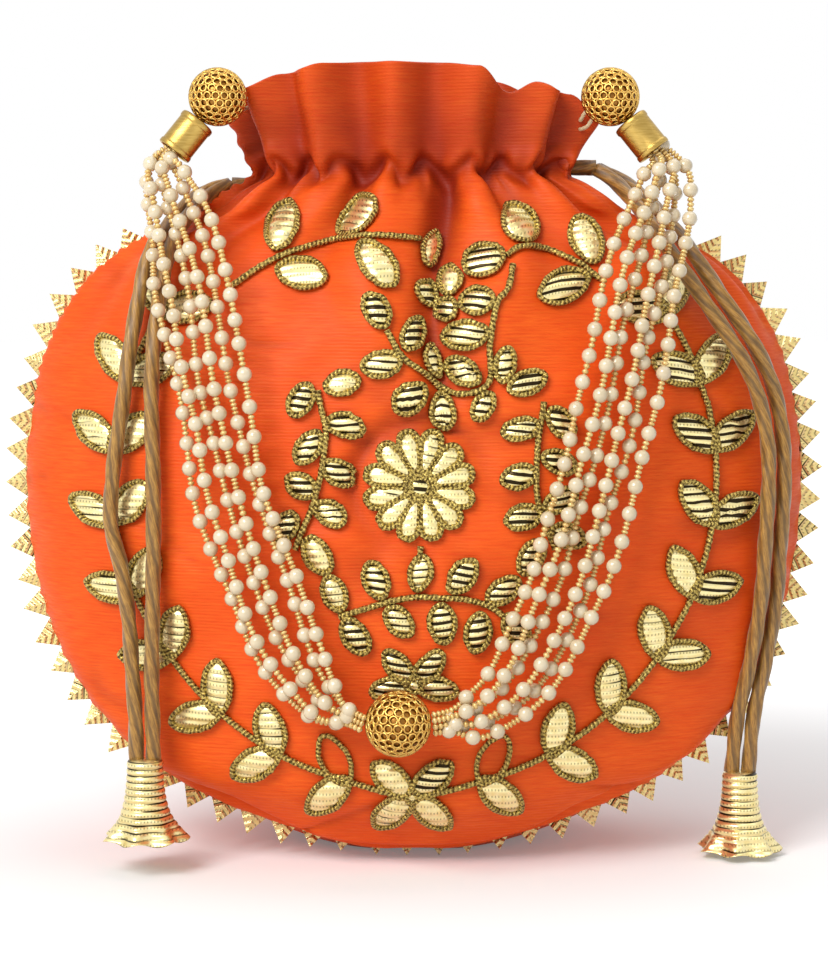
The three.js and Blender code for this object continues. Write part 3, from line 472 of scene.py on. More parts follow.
# Painted shade: the frill, the same silk, is mixed towards a darker red above the neck.
frill_shade_share = add_node(tree, "MapRange", {
    "Value": height, "From Min": FRILL_START[0] * MM, "From Max": FRILL_START[1] * MM, "To Max": 0.3})
colour = add_node(tree, "Mix", {0: frill_shade_share, 6: colour, 7: linear(FRILL_SHADE_RED)}, 2, data_type="RGBA")
roughness = add_node(tree, "MapRange", {"Value": slub, "To Min": 0.62, "To Max": 0.44})
relief = add_node(tree, "Bump", {"Height": slub, "Strength": 0.35, "Distance": 0.25 * MM})
relief = add_node(tree, "Bump", {"Height": weave, "Strength": 0.22, "Distance": 0.2 * MM, "Normal": relief})
plug(shader, {"Base Color": colour, "Roughness": roughness, "Normal": relief, "Specular IOR Level": 0.22,
              "Sheen Weight": 0.05, "Sheen Roughness": 0.35, "Sheen Tint": linear(SILK_SHEEN)})


def fit(made, body, node):
    """Rides a piece on its body in the place of a node, and hides that node."""
    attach(made, body)
    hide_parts(node)
    return made


def thicken(made, wall):
    cloth = made.modifiers.new("cloth", "SOLIDIFY")
    cloth.thickness = wall * MM
    cloth.offset = -1


front_mesh = silk_panel(BELLY_DEPTH, FRONT_CROWN, 1)
front_surface = BVHTree.FromBMesh(front_mesh)
back_mesh = silk_panel(BACK_DEPTH, BACK_CROWN, -1)
for panel_name, panel_mesh in (("front_panel", front_mesh), ("back_panel", back_mesh)):
    panel = fit(make_object("silk_" + panel_name, panel_mesh, silk), "bag", panel_name)
    thicken(panel, SILK_THICKNESS)

# Edge trim: metallic gold ribbon folded into points, one beside the other, and caught in the edge seam
# between the two silk panels. It ends on each side where the shoulder turns in to the neck.
TRIM_PITCH = 8.6
TRIM_POINT = 6.2
TRIM_SEWN_IN = 3
TRIM_TOP_SHARE = 0.6
TRIM_STEPS = 24
RIBBON_THICKNESS = 0.35
FOLD_RISE = 0.55
FOLD_SLANT = 0.7
POINT_SWAY = 0.9
TIP_REACH = (-0.6, 0.4)
TIP_ASIDE = (-0.6, 0.6)
TRIM_TONES = (-0.15, 0.1)
POINT_FACES = ((0, 4, 3, 2, 1), (1, 2, 5), (2, 3, 5))
CURVE_STEPS = 16
hand = random.Random(7)


def smooth_route(points, step):
    """Points about a step apart on the smooth curve through the given ones."""
    points = [Vector(p) for p in points]
    ends = [2 * points[0] - points[1], *points, 2 * points[-1] - points[-2]]
    dense = []
    for p0, p1, p2, p3 in zip(ends, ends[1:], ends[2:], ends[3:]):
        t1 = (p1 - p0).length ** 0.5
        t2 = t1 + (p2 - p1).length ** 0.5
        t3 = t2 + (p3 - p2).length ** 0.5
        for k in range(CURVE_STEPS):
            t = mix(t1, t2, k / CURVE_STEPS)
            share = (t - t1) / (t2 - t1)
            middle = p1.lerp(p2, share)
            before = p0.lerp(p1, t / t1).lerp(middle, t / t2)
            after = middle.lerp(p2.lerp(p3, (t - t2) / (t3 - t2)), (t - t1) / (t3 - t1))
            dense.append(before.lerp(after, share))
    dense.append(points[-1])
    reach = [0]
    for start, end in zip(dense, dense[1:]):
        reach.append(reach[-1] + (end - start).length)
    count = max(2, round(reach[-1] / step))
    route = []
    i = 0
    for k in range(count):
        wanted = reach[-1] * k / count
        while reach[i + 1] < wanted:
            i += 1
        route.append(dense[i].lerp(dense[i + 1], (wanted - reach[i]) / (reach[i + 1] - reach[i])))
    return [*route, dense[-1]]


# Gota ribbon is woven from flat gold wire: a pale, bright metal face with ribs across it, dark between the
# ribs, partly the dull weave and partly a painted reflection of the shade. The ribs follow the "rib" map, in
# millimetres. Ribs and rows of stitches are drawn coarser than real, so that they show.
GOTA_PALE = "#fff6c6"
GOTA_WARM = "#ecd27c"
GOTA_DARK_WEAVE_AND_SHADE = "#2c210c"
RIB_SPACING = 2.1
STITCH_SPACING = 0.9
STITCH_ROW = 1.7
GLINT_SIZE = 8.33
GOTA_MOTTLE = 1.67

gota, tree, shader = start_material("gota_ribbon")
place = add_node(tree, "UVMap", {}, uv_map="rib")
ribs = add_node(tree, "TexWave", {
    "Vector": place, "Scale": WAVE_PERIOD / RIB_SPACING, "Distortion": 1.2, "Detail": 2.0,
    "Detail Scale": 0.5}, bands_direction="Y")
glints = add_node(tree, "TexNoise", {"Vector": place, "Scale": 1 / GLINT_SIZE, "Detail": 1.0})
tone = add_node(tree, "Attribute", {}, "Fac", attribute_name="tone")
# Painted reflection of the shade: each piece's tone, varied by the glints, sets how much of each rib band is
# dark.
dark_level = add_node(tree, "Math", {0: glints, 1: 0.6, 2: tone}, operation="MULTIPLY_ADD")
band = add_node(tree, "Math", {0: dark_level, 1: ribs}, operation="SUBTRACT")
band_share = add_node(tree, "MapRange", {"Value": band, "From Min": 0.2, "From Max": 0.36})
stitch_rows = add_node(tree, "TexWave", {"Vector": place, "Scale": WAVE_PERIOD / STITCH_ROW},
                       bands_direction="Y")
dashes = add_node(tree, "TexWave", {"Vector": place, "Scale": WAVE_PERIOD / STITCH_SPACING},
                  bands_direction="X")
stitch = add_node(tree, "Math", {0: stitch_rows, 1: dashes}, operation="MULTIPLY")
stitch_share = add_node(tree, "MapRange", {
    "Value": stitch, "From Min": 0.55, "From Max": 0.85, "To Max": 0.55})
dark_share = add_node(tree, "Math", {0: band_share, 1: stitch_share}, operation="MAXIMUM")
mottle = add_node(tree, "TexNoise", {"Vector": place, "Scale": 1 / GOTA_MOTTLE, "Detail": 2.0})
colour = add_node(tree, "Mix", {0: mottle, 6: linear(GOTA_PALE), 7: linear(GOTA_WARM)}, 2, data_type="RGBA")
colour = add_node(tree, "Mix", {0: dark_share, 6: colour, 7: linear(GOTA_DARK_WEAVE_AND_SHADE)}, 2, data_type="RGBA")
roughness = add_node(tree, "MapRange", {"Value": mottle, "To Min": 0.2, "To Max": 0.42})
relief = add_node(tree, "Bump", {"Height": ribs, "Strength": 0.6, "Distance": 0.35 * MM})
plug(shader, {"Base Color": colour, "Roughness": roughness, "Normal": relief, "Metallic": 0.85})


def start_gota():
    """An empty mesh with the ribbon's map and tone."""
    bm = bmesh.new()
    return bm, bm.loops.layers.uv.new("rib"), bm.verts.layers.float.new("tone")


def seam_side(side):
    points = [lower_seam(90 * i / TRIM_STEPS) for i in range(TRIM_STEPS)]
    for i in range(SHOULDER_STEPS + 1):
        share = TRIM_TOP_SHARE * i / SHOULDER_STEPS
        points.append(shoulder_point(share, BAG_HALF_WIDTH, NECK_HALF_WIDTH, WIDEST_HEIGHT))
    return [Vector((side * x, 0, z)) for x, z in points]


seam_line = smooth_route([*seam_side(-1)[::-1], *seam_side(1)[1:]], TRIM_PITCH / 4)
trim_mesh, rib_layer, tone_layer = start_gota()
for k in range(0, len(seam_line) - 4, 4):
    start, middle, end = seam_line[k:k + 5:2]
    along = (end - start).normalized()
    outwards = Vector((0, 1, 0)).cross(along)
    if outwards.dot(middle - Vector((0, 0, WIDEST_HEIGHT))) < 0:
        outwards.negate()
    sway = Vector((0, hand.uniform(-POINT_SWAY, POINT_SWAY), 0))
    tip = middle + outwards * (TRIM_POINT + hand.uniform(*TIP_REACH))
    tip = tip + along * hand.uniform(*TIP_ASIDE) + sway
    sewn_in = outwards * TRIM_SEWN_IN
    places = [start - sewn_in, start, middle - Vector((0, FOLD_RISE, 0)), end, end - sewn_in, tip]
    corners = [trim_mesh.verts.new(p - Vector((0, seam_forward(p.z), 0))) for p in places]
    tone = hand.uniform(*TRIM_TONES)
    for corner in corners:
        corner[tone_layer] = tone
    faces = [trim_mesh.faces.new([corners[i] for i in order]) for order in POINT_FACES]
    for face, slant in zip(faces, (0, FOLD_SLANT, -FOLD_SLANT)):
        for loop in face.loops:
            spot = loop.vert.co - middle
            loop[rib_layer].uv = (spot.dot(along), spot.dot(outwards) + slant * spot.dot(along))
    bmesh.ops.solidify(trim_mesh, geom=faces, thickness=RIBBON_THICKNESS)
fit(make_object("gold_edge_trim", trim_mesh, gota), "bag", "edge_trim")

# Casing: a strip of plain orange lining cloth sewn round the inside of the neck. The drawcords run in the
# tunnel between it and the silk, and draw it into small pleats.
CASING_STRAIGHT = 16
CASING_RADIUS = 8
CASING_HEIGHT = 15
CASING_WALL = 0.6
CASING_PLEATS = 26
CASING_PLEAT = 0.45
CASING_INSET = 0.5
CASING_GRID = (208, 6)


def clouded(name, dark, light, grain, detail, finish):
    """A material whose tone drifts between two colours, in clouds of a grain in millimetres."""
    material, tree, shader = start_material(name)
    place = add_node(tree, "TexCoord", {}, "Object")
    cloud = add_node(tree, "TexNoise", {"Vector": place, "Scale": 1 / (grain * MM), "Detail": detail})
    colour = add_node(tree, "Mix", {0: cloud, 6: linear(dark), 7: linear(light)}, 2, data_type="RGBA")
    plug(shader, {"Base Color": colour, **finish})
    return material, tree, shader, cloud


# Plain cotton lining: matt and a little uneven, with a grain of threads.
lining, tree, shader, grain = clouded("lining_cloth", "#b93f14", "#e05a22", 1.11, 2.0, {"Roughness": 0.8})
relief = add_node(tree, "Bump", {"Height": grain, "Strength": 0.4, "Distance": 0.2 * MM})
plug(shader, {"Normal": relief})

casing_mesh = bmesh.new()
bmesh.ops.create_grid(casing_mesh, x_segments=CASING_GRID[0], y_segments=CASING_GRID[1], size=0.5)
half_round = 2 * CASING_STRAIGHT + math.pi * CASING_RADIUS
for vertex in casing_mesh.verts:
    run = (vertex.co.x + 0.5) * 2 * half_round
    z = NECK_HEIGHT + vertex.co.y * CASING_HEIGHT
    pleat = CASING_PLEAT * math.sin(math.pi * CASING_PLEATS * run / half_round)
    radius = CASING_RADIUS - CASING_INSET + pleat
    side = 1 if run < half_round else -1
    run -= 0 if side > 0 else half_round
    bend = (run - 2 * CASING_STRAIGHT) / CASING_RADIUS
    if bend < 0:
        vertex.co = (side * (run - CASING_STRAIGHT), -side * radius, z)
    else:
        x = CASING_STRAIGHT + radius * math.sin(bend)
        vertex.co = (side * x, -side * radius * math.cos(bend), z)
bmesh.ops.remove_doubles(casing_mesh, verts=casing_mesh.verts, dist=0.01)
smooth(casing_mesh.faces)
casing = fit(make_object("lining_casing_band", casing_mesh, lining), "bag", "casing_band")
thicken(casing, CASING_WALL)

# Drawcords: two soft braided cords of gold satin yarn. Each runs once round the neck inside the casing,
# leaves by the slit in the side seam and hangs down the front as two strands that end in one bell.
SIDES = {"left": -1, "right": 1}
CORD_DIAMETER = 4.2
CORD_LEVEL = 2.4
CORD_PLAITS = 4
CORD_TWIST = 52
CORD_SIDES = 16
CORD_FULLNESS = (0.96, 0.08)
LOOP_RADIUS = 11.5
LOOP_STEP = 1.5
STRAND_STEP = 1.2
LOOP_POINTS = [
    (51, 2.6), (44, 2.55), (36, 3.15), (28, 6.2), (21, 9.6), (14, 11.5), (0, 11.5), (-16, 11.5),
    (-24.1, 8.1)]
STRAND_ROUTES = {
    "left": {
        "inner": [
            (-51.5, -2.8, 186.4), (-56.5, -6.5, 184), (-61.5, -14, 179), (-65, -22, 173),
            (-67.5, -31, 163.5), (-69.8, -37.5, 146), (-70.5, -40.7, 131), (-69.9, -43.8, 108.7),
            (-69.9, -44.5, 90), (-70.4, -44.2, 70), (-70.8, -43.5, 52), (-70.7, -43, 42),
            (-70.6, -42.5, 31)],
        "outer": [
            (-52, 2.6, 186.6), (-58, 0, 185), (-63.5, -7, 181), (-68, -15, 175), (-72, -26.5, 167.5),
            (-76, -33.8, 147), (-78.6, -37.6, 127), (-81.3, -38.6, 108), (-81.8, -39.4, 94),
            (-79.3, -40.6, 84), (-77.2, -41.2, 70), (-76.2, -41.8, 55), (-75.4, -42.2, 42),
            (-75.2, -42.5, 31)]},
    "right": {
        "inner": [
            (51, -2.6, 191), (56, -5.5, 187.5), (61, -12, 181.5), (65.5, -20, 175), (70.5, -27.5, 167),
            (79, -29.8, 154.5), (89, -29.8, 139.5), (94, -28.2, 128.5), (96.8, -28.4, 114.7),
            (96.8, -29.6, 100), (96.2, -29.3, 88), (95.5, -27.6, 73), (93, -24.8, 55), (90, -22.6, 40),
            (88.4, -22, 23.6)],
        "outer": [
            (52, 2.6, 191), (58, 0, 188), (64, -6.5, 183), (69.5, -14, 177), (75, -21.5, 169.5),
            (84, -26.6, 156), (94, -25.8, 141), (99.3, -23, 129), (101.6, -24.2, 114.7),
            (101.6, -25.6, 100), (100.9, -25.2, 88), (100.2, -23.6, 73), (97.6, -22, 55),
            (94.6, -21.6, 40), (93.1, -22, 23.6)]}}


def sweep(bm, route, sides, radius, outs=None, material=0):
    """A closed tube round a route. Its radius is a number, or follows the way along it and the turn round it.

    outs are the ways up along it, or it turns as little as it can. A route that comes back is a ring.
    """
    ring = (route[0] - route[-1]).length < 1e-6
    count = len(route)
    frames = []
    reach = 0
    up = Vector((0.3, -1, 0.2))
    for i, centre in enumerate(route):
        before = route[i - 1] if i > 0 else (route[-2] if ring else centre)
        after = route[i + 1] if i < count - 1 else (route[1] if ring else centre)
        along = (after - before).normalized()
        up = outs[i] if outs else up
        across = up.cross(along).normalized()
        up = along.cross(across)
        reach += (centre - route[i - 1]).length if i > 0 else 0
        frames.append((centre, across, up.copy(), reach))
    uv_layer = bm.loops.layers.uv.verify()
    made = bmesh.ops.create_grid(bm, x_segments=count - 1, y_segments=sides, size=0.5)["verts"]
    marks = {}
    for vertex in made:
        centre, across, out, reach = frames[round((vertex.co.x + 0.5) * (count - 1))]
        share = vertex.co.y + 0.5
        turn = 2 * math.pi * share
        size = radius(reach, turn) if callable(radius) else radius
        marks[vertex] = (share, reach)
        vertex.co = centre + size * (math.cos(turn) * across + math.sin(turn) * out)
    for face in {face for vertex in made for face in vertex.link_faces}:
        face.smooth = True
        face.material_index = material
        for loop in face.loops:
            loop[uv_layer].uv = marks[loop.vert]
    bmesh.ops.remove_doubles(bm, verts=made, dist=1e-4)
    made = [vertex for vertex in made if vertex.is_valid]
    rims = {edge for vertex in made for edge in vertex.link_edges if edge.is_boundary}
    bmesh.ops.holes_fill(bm, edges=list(rims), sides=0)
    bmesh.ops.recalc_face_normals(bm, faces=list({face for vertex in made for face in vertex.link_faces}))


# Satin yarn is a smooth, shiny gold-brown thread, laid in long fine fibres. Four strands twist round each
# other, with painted shade in the grooves between them. The map gives the share round the cord and the way
# along it.
CORD_LIGHT = "#bd8c3c"
CORD_MID = "#835a1e"
CORD_GROOVE_SHADE = "#4a3310"
FIBRES = 26
FIBRE_LENGTH = 3.57

satin, tree, shader = start_material("braided_satin")
place = add_node(tree, "UVMap", {})
around = add_node(tree, "SeparateXYZ", {0: place}, "X")
along = around.node.outputs["Y"]
twist = add_node(tree, "Math", {0: along, 1: 1 / CORD_TWIST, 2: around}, operation="MULTIPLY_ADD")
fibre_place = add_node(tree, "CombineXYZ", {"X": twist, "Y": along})
fibre_place = add_node(tree, "Mapping", {"Vector": fibre_place, "Scale": (FIBRES, 1 / FIBRE_LENGTH, 1)})
fibre = add_node(tree, "TexNoise", {"Vector": fibre_place, "Scale": 1.0, "Detail": 3.0, "Roughness": 0.6})
# Painted shade: the colour darkens in the grooves between the four strands.
strand_turn = add_node(tree, "Math", {0: twist, 1: 2 * math.pi * CORD_PLAITS}, operation="MULTIPLY")
strand_wave = add_node(tree, "Math", {0: strand_turn}, operation="COSINE")
clear_of_groove_shade = add_node(tree, "MapRange", {
    "Value": strand_wave, "From Min": -1.0, "From Max": 0.0, "To Min": 0.35})
fibre_share = add_node(tree, "MapRange", {"Value": fibre, "From Min": 0.35, "From Max": 0.65})
colour = add_node(tree, "Mix", {0: fibre_share, 6: linear(CORD_MID), 7: linear(CORD_LIGHT)}, 2,
                  data_type="RGBA")
colour = add_node(tree, "Mix", {0: clear_of_groove_shade, 6: linear(CORD_GROOVE_SHADE), 7: colour}, 2, data_type="RGBA")
relief = add_node(tree, "Bump", {"Height": fibre, "Strength": 0.6, "Distance": 0.3 * MM})
plug(shader, {"Base Color": colour, "Normal": relief, "Roughness": 0.42, "Sheen Weight": 0.2,
              "Specular IOR Level": 0.6})


def cord_radius(reach, turn):
    groove = math.cos(CORD_PLAITS * (turn + 2 * math.pi * reach / CORD_TWIST))
    return CORD_DIAMETER / 2 * (CORD_FULLNESS[0] + CORD_FULLNESS[1] * groove)


def satin_cord(side_name, part, route):
    bm = bmesh.new()
    sweep(bm, route, CORD_SIDES, cord_radius)
    node = f"drawcord_{side_name}"
    return fit(make_object(f"{node}_{part}", bm, satin), "bag", node)


drawcords = []
for side_name, side in SIDES.items():
    level = NECK_HEIGHT + side * CORD_LEVEL
    loop_half = [(side * x, y, level) for x, y in LOOP_POINTS]
    far_end = (-side * (CASING_STRAIGHT + LOOP_RADIUS), 0, level)
    loop_points = [*[(x, -y, z) for x, y, z in loop_half], far_end, *loop_half[::-1]]
    satin_cord(side_name, "in_casing", smooth_route(loop_points, LOOP_STEP))
    for part, points in STRAND_ROUTES[side_name].items():
        route = smooth_route(points, STRAND_STEP)
        drawcords.append((satin_cord(side_name, part, route), route, side_name))

# Bell tassels: gold ribbon wound in ribs over a small cone, with a wide ruffled hem. The two ends of a
# drawcord are sewn into the top of each one.
BELL_HEIGHT = 22
BELL_TOP_RADIUS = 4.6
BELL_TOP = [(0, 0.6), (2.6, 0.5)]
BELL_HEM_RADIUS = 11
BELL_HEM_START = 6.1
BELL_FLARE = (0.12, 3.2)
BELL_RUFFLES = 7
BELL_RUFFLE = 1.2
BELL_RUFFLE_RISE = 0.54
BELL_RUFFLE_LAG = 0.6
BELL_RIBS = 12
BELL_RIB = 0.32
BELL_RIBS_END = (0.8, 0.95)
BELL_WALL = 0.7
BELL_STEPS = 72
BELL_INSIDE_STEP = 6
BELL_SIDES = 84
BELL_TONE = 0.05
BELL_PLACES = {"left": (-72.9, -42.5, 30.7), "right": (90.75, -22, 23.3)}


def bell_outline():
    """Radius and height down the outside and up the inside, with both ends on the axis."""
    outside = [*BELL_TOP]
    for i in range(BELL_STEPS + 1):
        fall = i / BELL_STEPS
        rib = BELL_RIB * abs(math.sin(math.pi * BELL_RIBS * fall)) * (1 - ease(fall, *BELL_RIBS_END))
        spread = mix(fall ** BELL_FLARE[1], fall, BELL_FLARE[0])
        outside.append((mix(BELL_TOP_RADIUS, BELL_HEM_RADIUS, spread) + rib, -BELL_HEIGHT * fall))
    inside = outside[:len(outside) // 3:-BELL_INSIDE_STEP]
    inside = [(max(radius - BELL_WALL, 1), height) for radius, height in inside]
    return [*outside, *inside, (0, inside[-1][1])]


for side_name, (x, y, z) in BELL_PLACES.items():
    outline = bell_outline()
    bell_mesh, rib_layer, tone_layer = start_gota()
    bmesh.ops.create_grid(bell_mesh, x_segments=BELL_SIDES, y_segments=len(outline) - 1, size=0.5)
    for vertex in bell_mesh.verts:
        turn = 2 * math.pi * (vertex.co.x + 0.5)
        radius, height = outline[round((vertex.co.y + 0.5) * (len(outline) - 1))]
        hem = ease(radius, BELL_HEM_START, BELL_HEM_RADIUS)
        radius += hem * BELL_RUFFLE * math.cos(BELL_RUFFLES * turn)
        height += hem * BELL_RUFFLE_RISE * (1 + math.sin(BELL_RUFFLES * turn + BELL_RUFFLE_LAG))
        vertex.co = (x + radius * math.cos(turn), y + radius * math.sin(turn), z + height)
        vertex[tone_layer] = BELL_TONE
    smooth(bell_mesh.faces)
    for loop in (loop for face in bell_mesh.faces for loop in face.loops):
        loop[rib_layer].uv = (loop.vert.co.x, (z - loop.vert.co.z) * RIB_SPACING * BELL_RIBS / BELL_HEIGHT)
    bmesh.ops.remove_doubles(bell_mesh, verts=bell_mesh.verts, dist=1e-3)
    bmesh.ops.recalc_face_normals(bell_mesh, faces=bell_mesh.faces)
    node = f"bell_tassel_{side_name}"
    fit(make_object("gold_" + node, bell_mesh, gota), "bag", node)

for strand, route, side_name in drawcords:
    length = sum((end - start).length for start, end in zip(route, route[1:])) * MM

# Gota work: leaves and petals of gold ribbon, padded and edged with twisted gold thread, and vines of the
# same thread, all sewn by hand to the front panel after the silk is stretched. Small leaves and those on
# the right are more often dark: a painted reflection of the shade that their ribs would mirror.
GOTA_LIFT = 0.35
LEAF_RISE = 1.5
LEAF_PAD = 0.6
LEAF_WALL = 0.25
LEAF_LENGTH = 16.5
LEAF_WIDTH = 9.4
LEAF_GRID = (8, 6)
LEAF_EDGE_STEPS = 32
RIBBON_LIFT = 0.2
RIBBON_LEAN = 0.15
RIBBON_START = 40
LARGE_LEAF = 13
SMALL_DARK = 0.7
LARGE_DARK = (0.04, 0.6)
DARK_SIDE = (30, 70)
DARK_HEIGHT = (115, 45)
DARK_TONES = (0.2, 0.48)
PALE_TONES = (-0.25, 0.05)
VINE_DIAMETER = 1.8
VINE_FULLNESS = (0.78, 0.3)
VINE_STEP = 0.8
VINE_SIDES = 8
EDGE_CORD = 0.82
EDGE_SIDES = 5
EDGE_WOBBLE = 0.35
WOBBLE_SIZE = 1.25

# Zari is fine gold wire wound on a thread and twisted into a cord: warm gold, with painted shade between
# the turns and small sharp painted glints. The map gives the share round the cord and the way along it in
# millimetres.
ZARI_LIGHT = "#dcc26a"
ZARI_TURN_SHADE = "#4f3a12"
ZARI_TURN = 1.2
ZARI_GLINT_SIZE = 0.6

zari, tree, shader = start_material("zari_cord")
place = add_node(tree, "UVMap", {}, uv_map="rib")
around = add_node(tree, "SeparateXYZ", {0: place}, "X")
along = around.node.outputs["Y"]
slant = add_node(tree, "Math", {0: along, 1: 1 / ZARI_TURN, 2: around}, operation="MULTIPLY_ADD")
circle = add_node(tree, "Math", {0: slant, 1: 2 * math.pi}, operation="MULTIPLY")
twist = add_node(tree, "Math", {0: circle}, operation="SINE")
place = add_node(tree, "TexCoord", {}, "Object")
painted_glint = add_node(tree, "TexNoise", {"Vector": place, "Scale": 1 / (ZARI_GLINT_SIZE * MM), "Detail": 2.0})
# Painted shade between the turns and painted glints, both mixed into the base colour.
twisted = add_node(tree, "Math", {0: twist, 1: 0.13, 2: painted_glint}, operation="MULTIPLY_ADD")
light_share = add_node(tree, "MapRange", {"Value": twisted, "From Min": 0.32, "From Max": 0.7})
colour = add_node(tree, "Mix", {0: light_share, 6: linear(ZARI_TURN_SHADE), 7: linear(ZARI_LIGHT)}, 2,
                  data_type="RGBA")
relief = add_node(tree, "Bump", {"Height": light_share, "Strength": 0.8, "Distance": 0.4 * MM})
plug(shader, {"Base Color": colour, "Normal": relief, "Metallic": 0.7, "Roughness": 0.38})


def lay(x, z, lift):
    """The place on the front panel's silk under (x, z), lifted off it, and the way out there."""
    spot, out, _, _ = front_surface.ray_cast(Vector((x, -200, z)), Vector((0, 1, 0)))
    if spot is None:
        spot, out, _, _ = front_surface.find_nearest(Vector((x, -20, z)))
    return spot + out * lift, out


def vine_radius(reach, turn):
    strand = abs(math.cos(turn - math.pi * reach / ZARI_TURN))
    return VINE_DIAMETER / 2 * (VINE_FULLNESS[0] + VINE_FULLNESS[1] * strand)


def vine(bm, spots):
    route = smooth_route([(x, 0, z) for x, z in spots], VINE_STEP)
    laid = [lay(p.x, p.z, GOTA_LIFT + VINE_DIAMETER / 3) for p in route]
    sweep(bm, [p for p, _ in laid], VINE_SIDES, vine_radius, [out for _, out in laid], 1)
    return route


def leaf(bm, middle, heading, length, width, ribbon=True, pointed=1.2, flare=0):
    """A padded oval round its middle, longest along its heading, with a cord round its edge.

    A pointed share above 1 draws its two ends to points. Flare makes the far end wider than the near one.
    """
    along = Vector((math.cos(heading), math.sin(heading)))
    aside = Vector((-along.y, along.x))
    middle = Vector(middle)
    half_length = length / 2 - EDGE_CORD
    half_width = width / 2 - EDGE_CORD

    def spot_at(reach, bulge):
        return middle + along * half_length * reach + aside * half_width * bulge * (1 + flare * reach)

    edge = []
    outs = []
    for k in range(LEAF_EDGE_STEPS + 1):
        turn = 2 * math.pi * k / LEAF_EDGE_STEPS
        spot = spot_at(math.cos(turn), math.copysign(abs(math.sin(turn)) ** pointed, math.sin(turn)))
        wobble = EDGE_WOBBLE * noise.noise(Vector((spot.x, spot.y, 3)) / WOBBLE_SIZE)
        spot += (spot - middle).normalized() * wobble
        place, out = lay(spot.x, spot.y, GOTA_LIFT + EDGE_CORD)
        edge.append(place)
        outs.append(out)
    edge[-1] = edge[0].copy()
    sweep(bm, edge, EDGE_SIDES, EDGE_CORD, outs, 1)
    if not ribbon:
        return
    rib_layer = bm.loops.layers.uv["rib"]
    tone_layer = bm.verts.layers.float["tone"]
    # Painted reflection: large leaves on the right, at middle height, are more often dark.
    in_shade = ease(middle.x, *DARK_SIDE) * bump_at(middle.y, *DARK_HEIGHT)
    chance = SMALL_DARK if length <= LARGE_LEAF else mix(*LARGE_DARK, in_shade)
    tones = DARK_TONES if hand.random() < chance else PALE_TONES
    tone = hand.uniform(*tones)
    lean = hand.uniform(-RIBBON_LEAN, RIBBON_LEAN)
    start = hand.uniform(0, RIBBON_START)
    made = bmesh.ops.create_grid(bm, x_segments=LEAF_GRID[0], y_segments=LEAF_GRID[1], size=1)["verts"]
    marks = {}
    for vertex in made:
        turn = vertex.co.x * math.pi / 2
        reach = math.sin(turn)
        bulge = vertex.co.y * math.cos(turn) ** pointed
        spot = spot_at(reach, bulge)
        pad = max(1 - reach ** 2 - bulge ** 2, 0) ** LEAF_PAD
        vertex.co = lay(spot.x, spot.y, GOTA_LIFT + RIBBON_LIFT + LEAF_RISE * pad)[0]
        vertex[tone_layer] = tone
        marks[vertex] = (spot.x + start, spot.y + lean * spot.x + start)
    faces = list({face for vertex in made for face in vertex.link_faces})
    smooth(faces)
    for loop in (loop for face in faces for loop in face.loops):
        loop[rib_layer].uv = marks[loop.vert]
    bmesh.ops.remove_doubles(bm, verts=made, dist=1e-3)
    faces = [face for face in faces if face.is_valid]
    bmesh.ops.recalc_face_normals(bm, faces=faces)
    if sum(face.normal.y for face in faces) > 0:
        bmesh.ops.reverse_faces(bm, faces=faces)
    bmesh.ops.solidify(bm, geom=faces, thickness=LEAF_WALL)


def finish_gota(name, bm):
    fit(make_object("gota_" + name, bm, gota, zari), "bag", name)


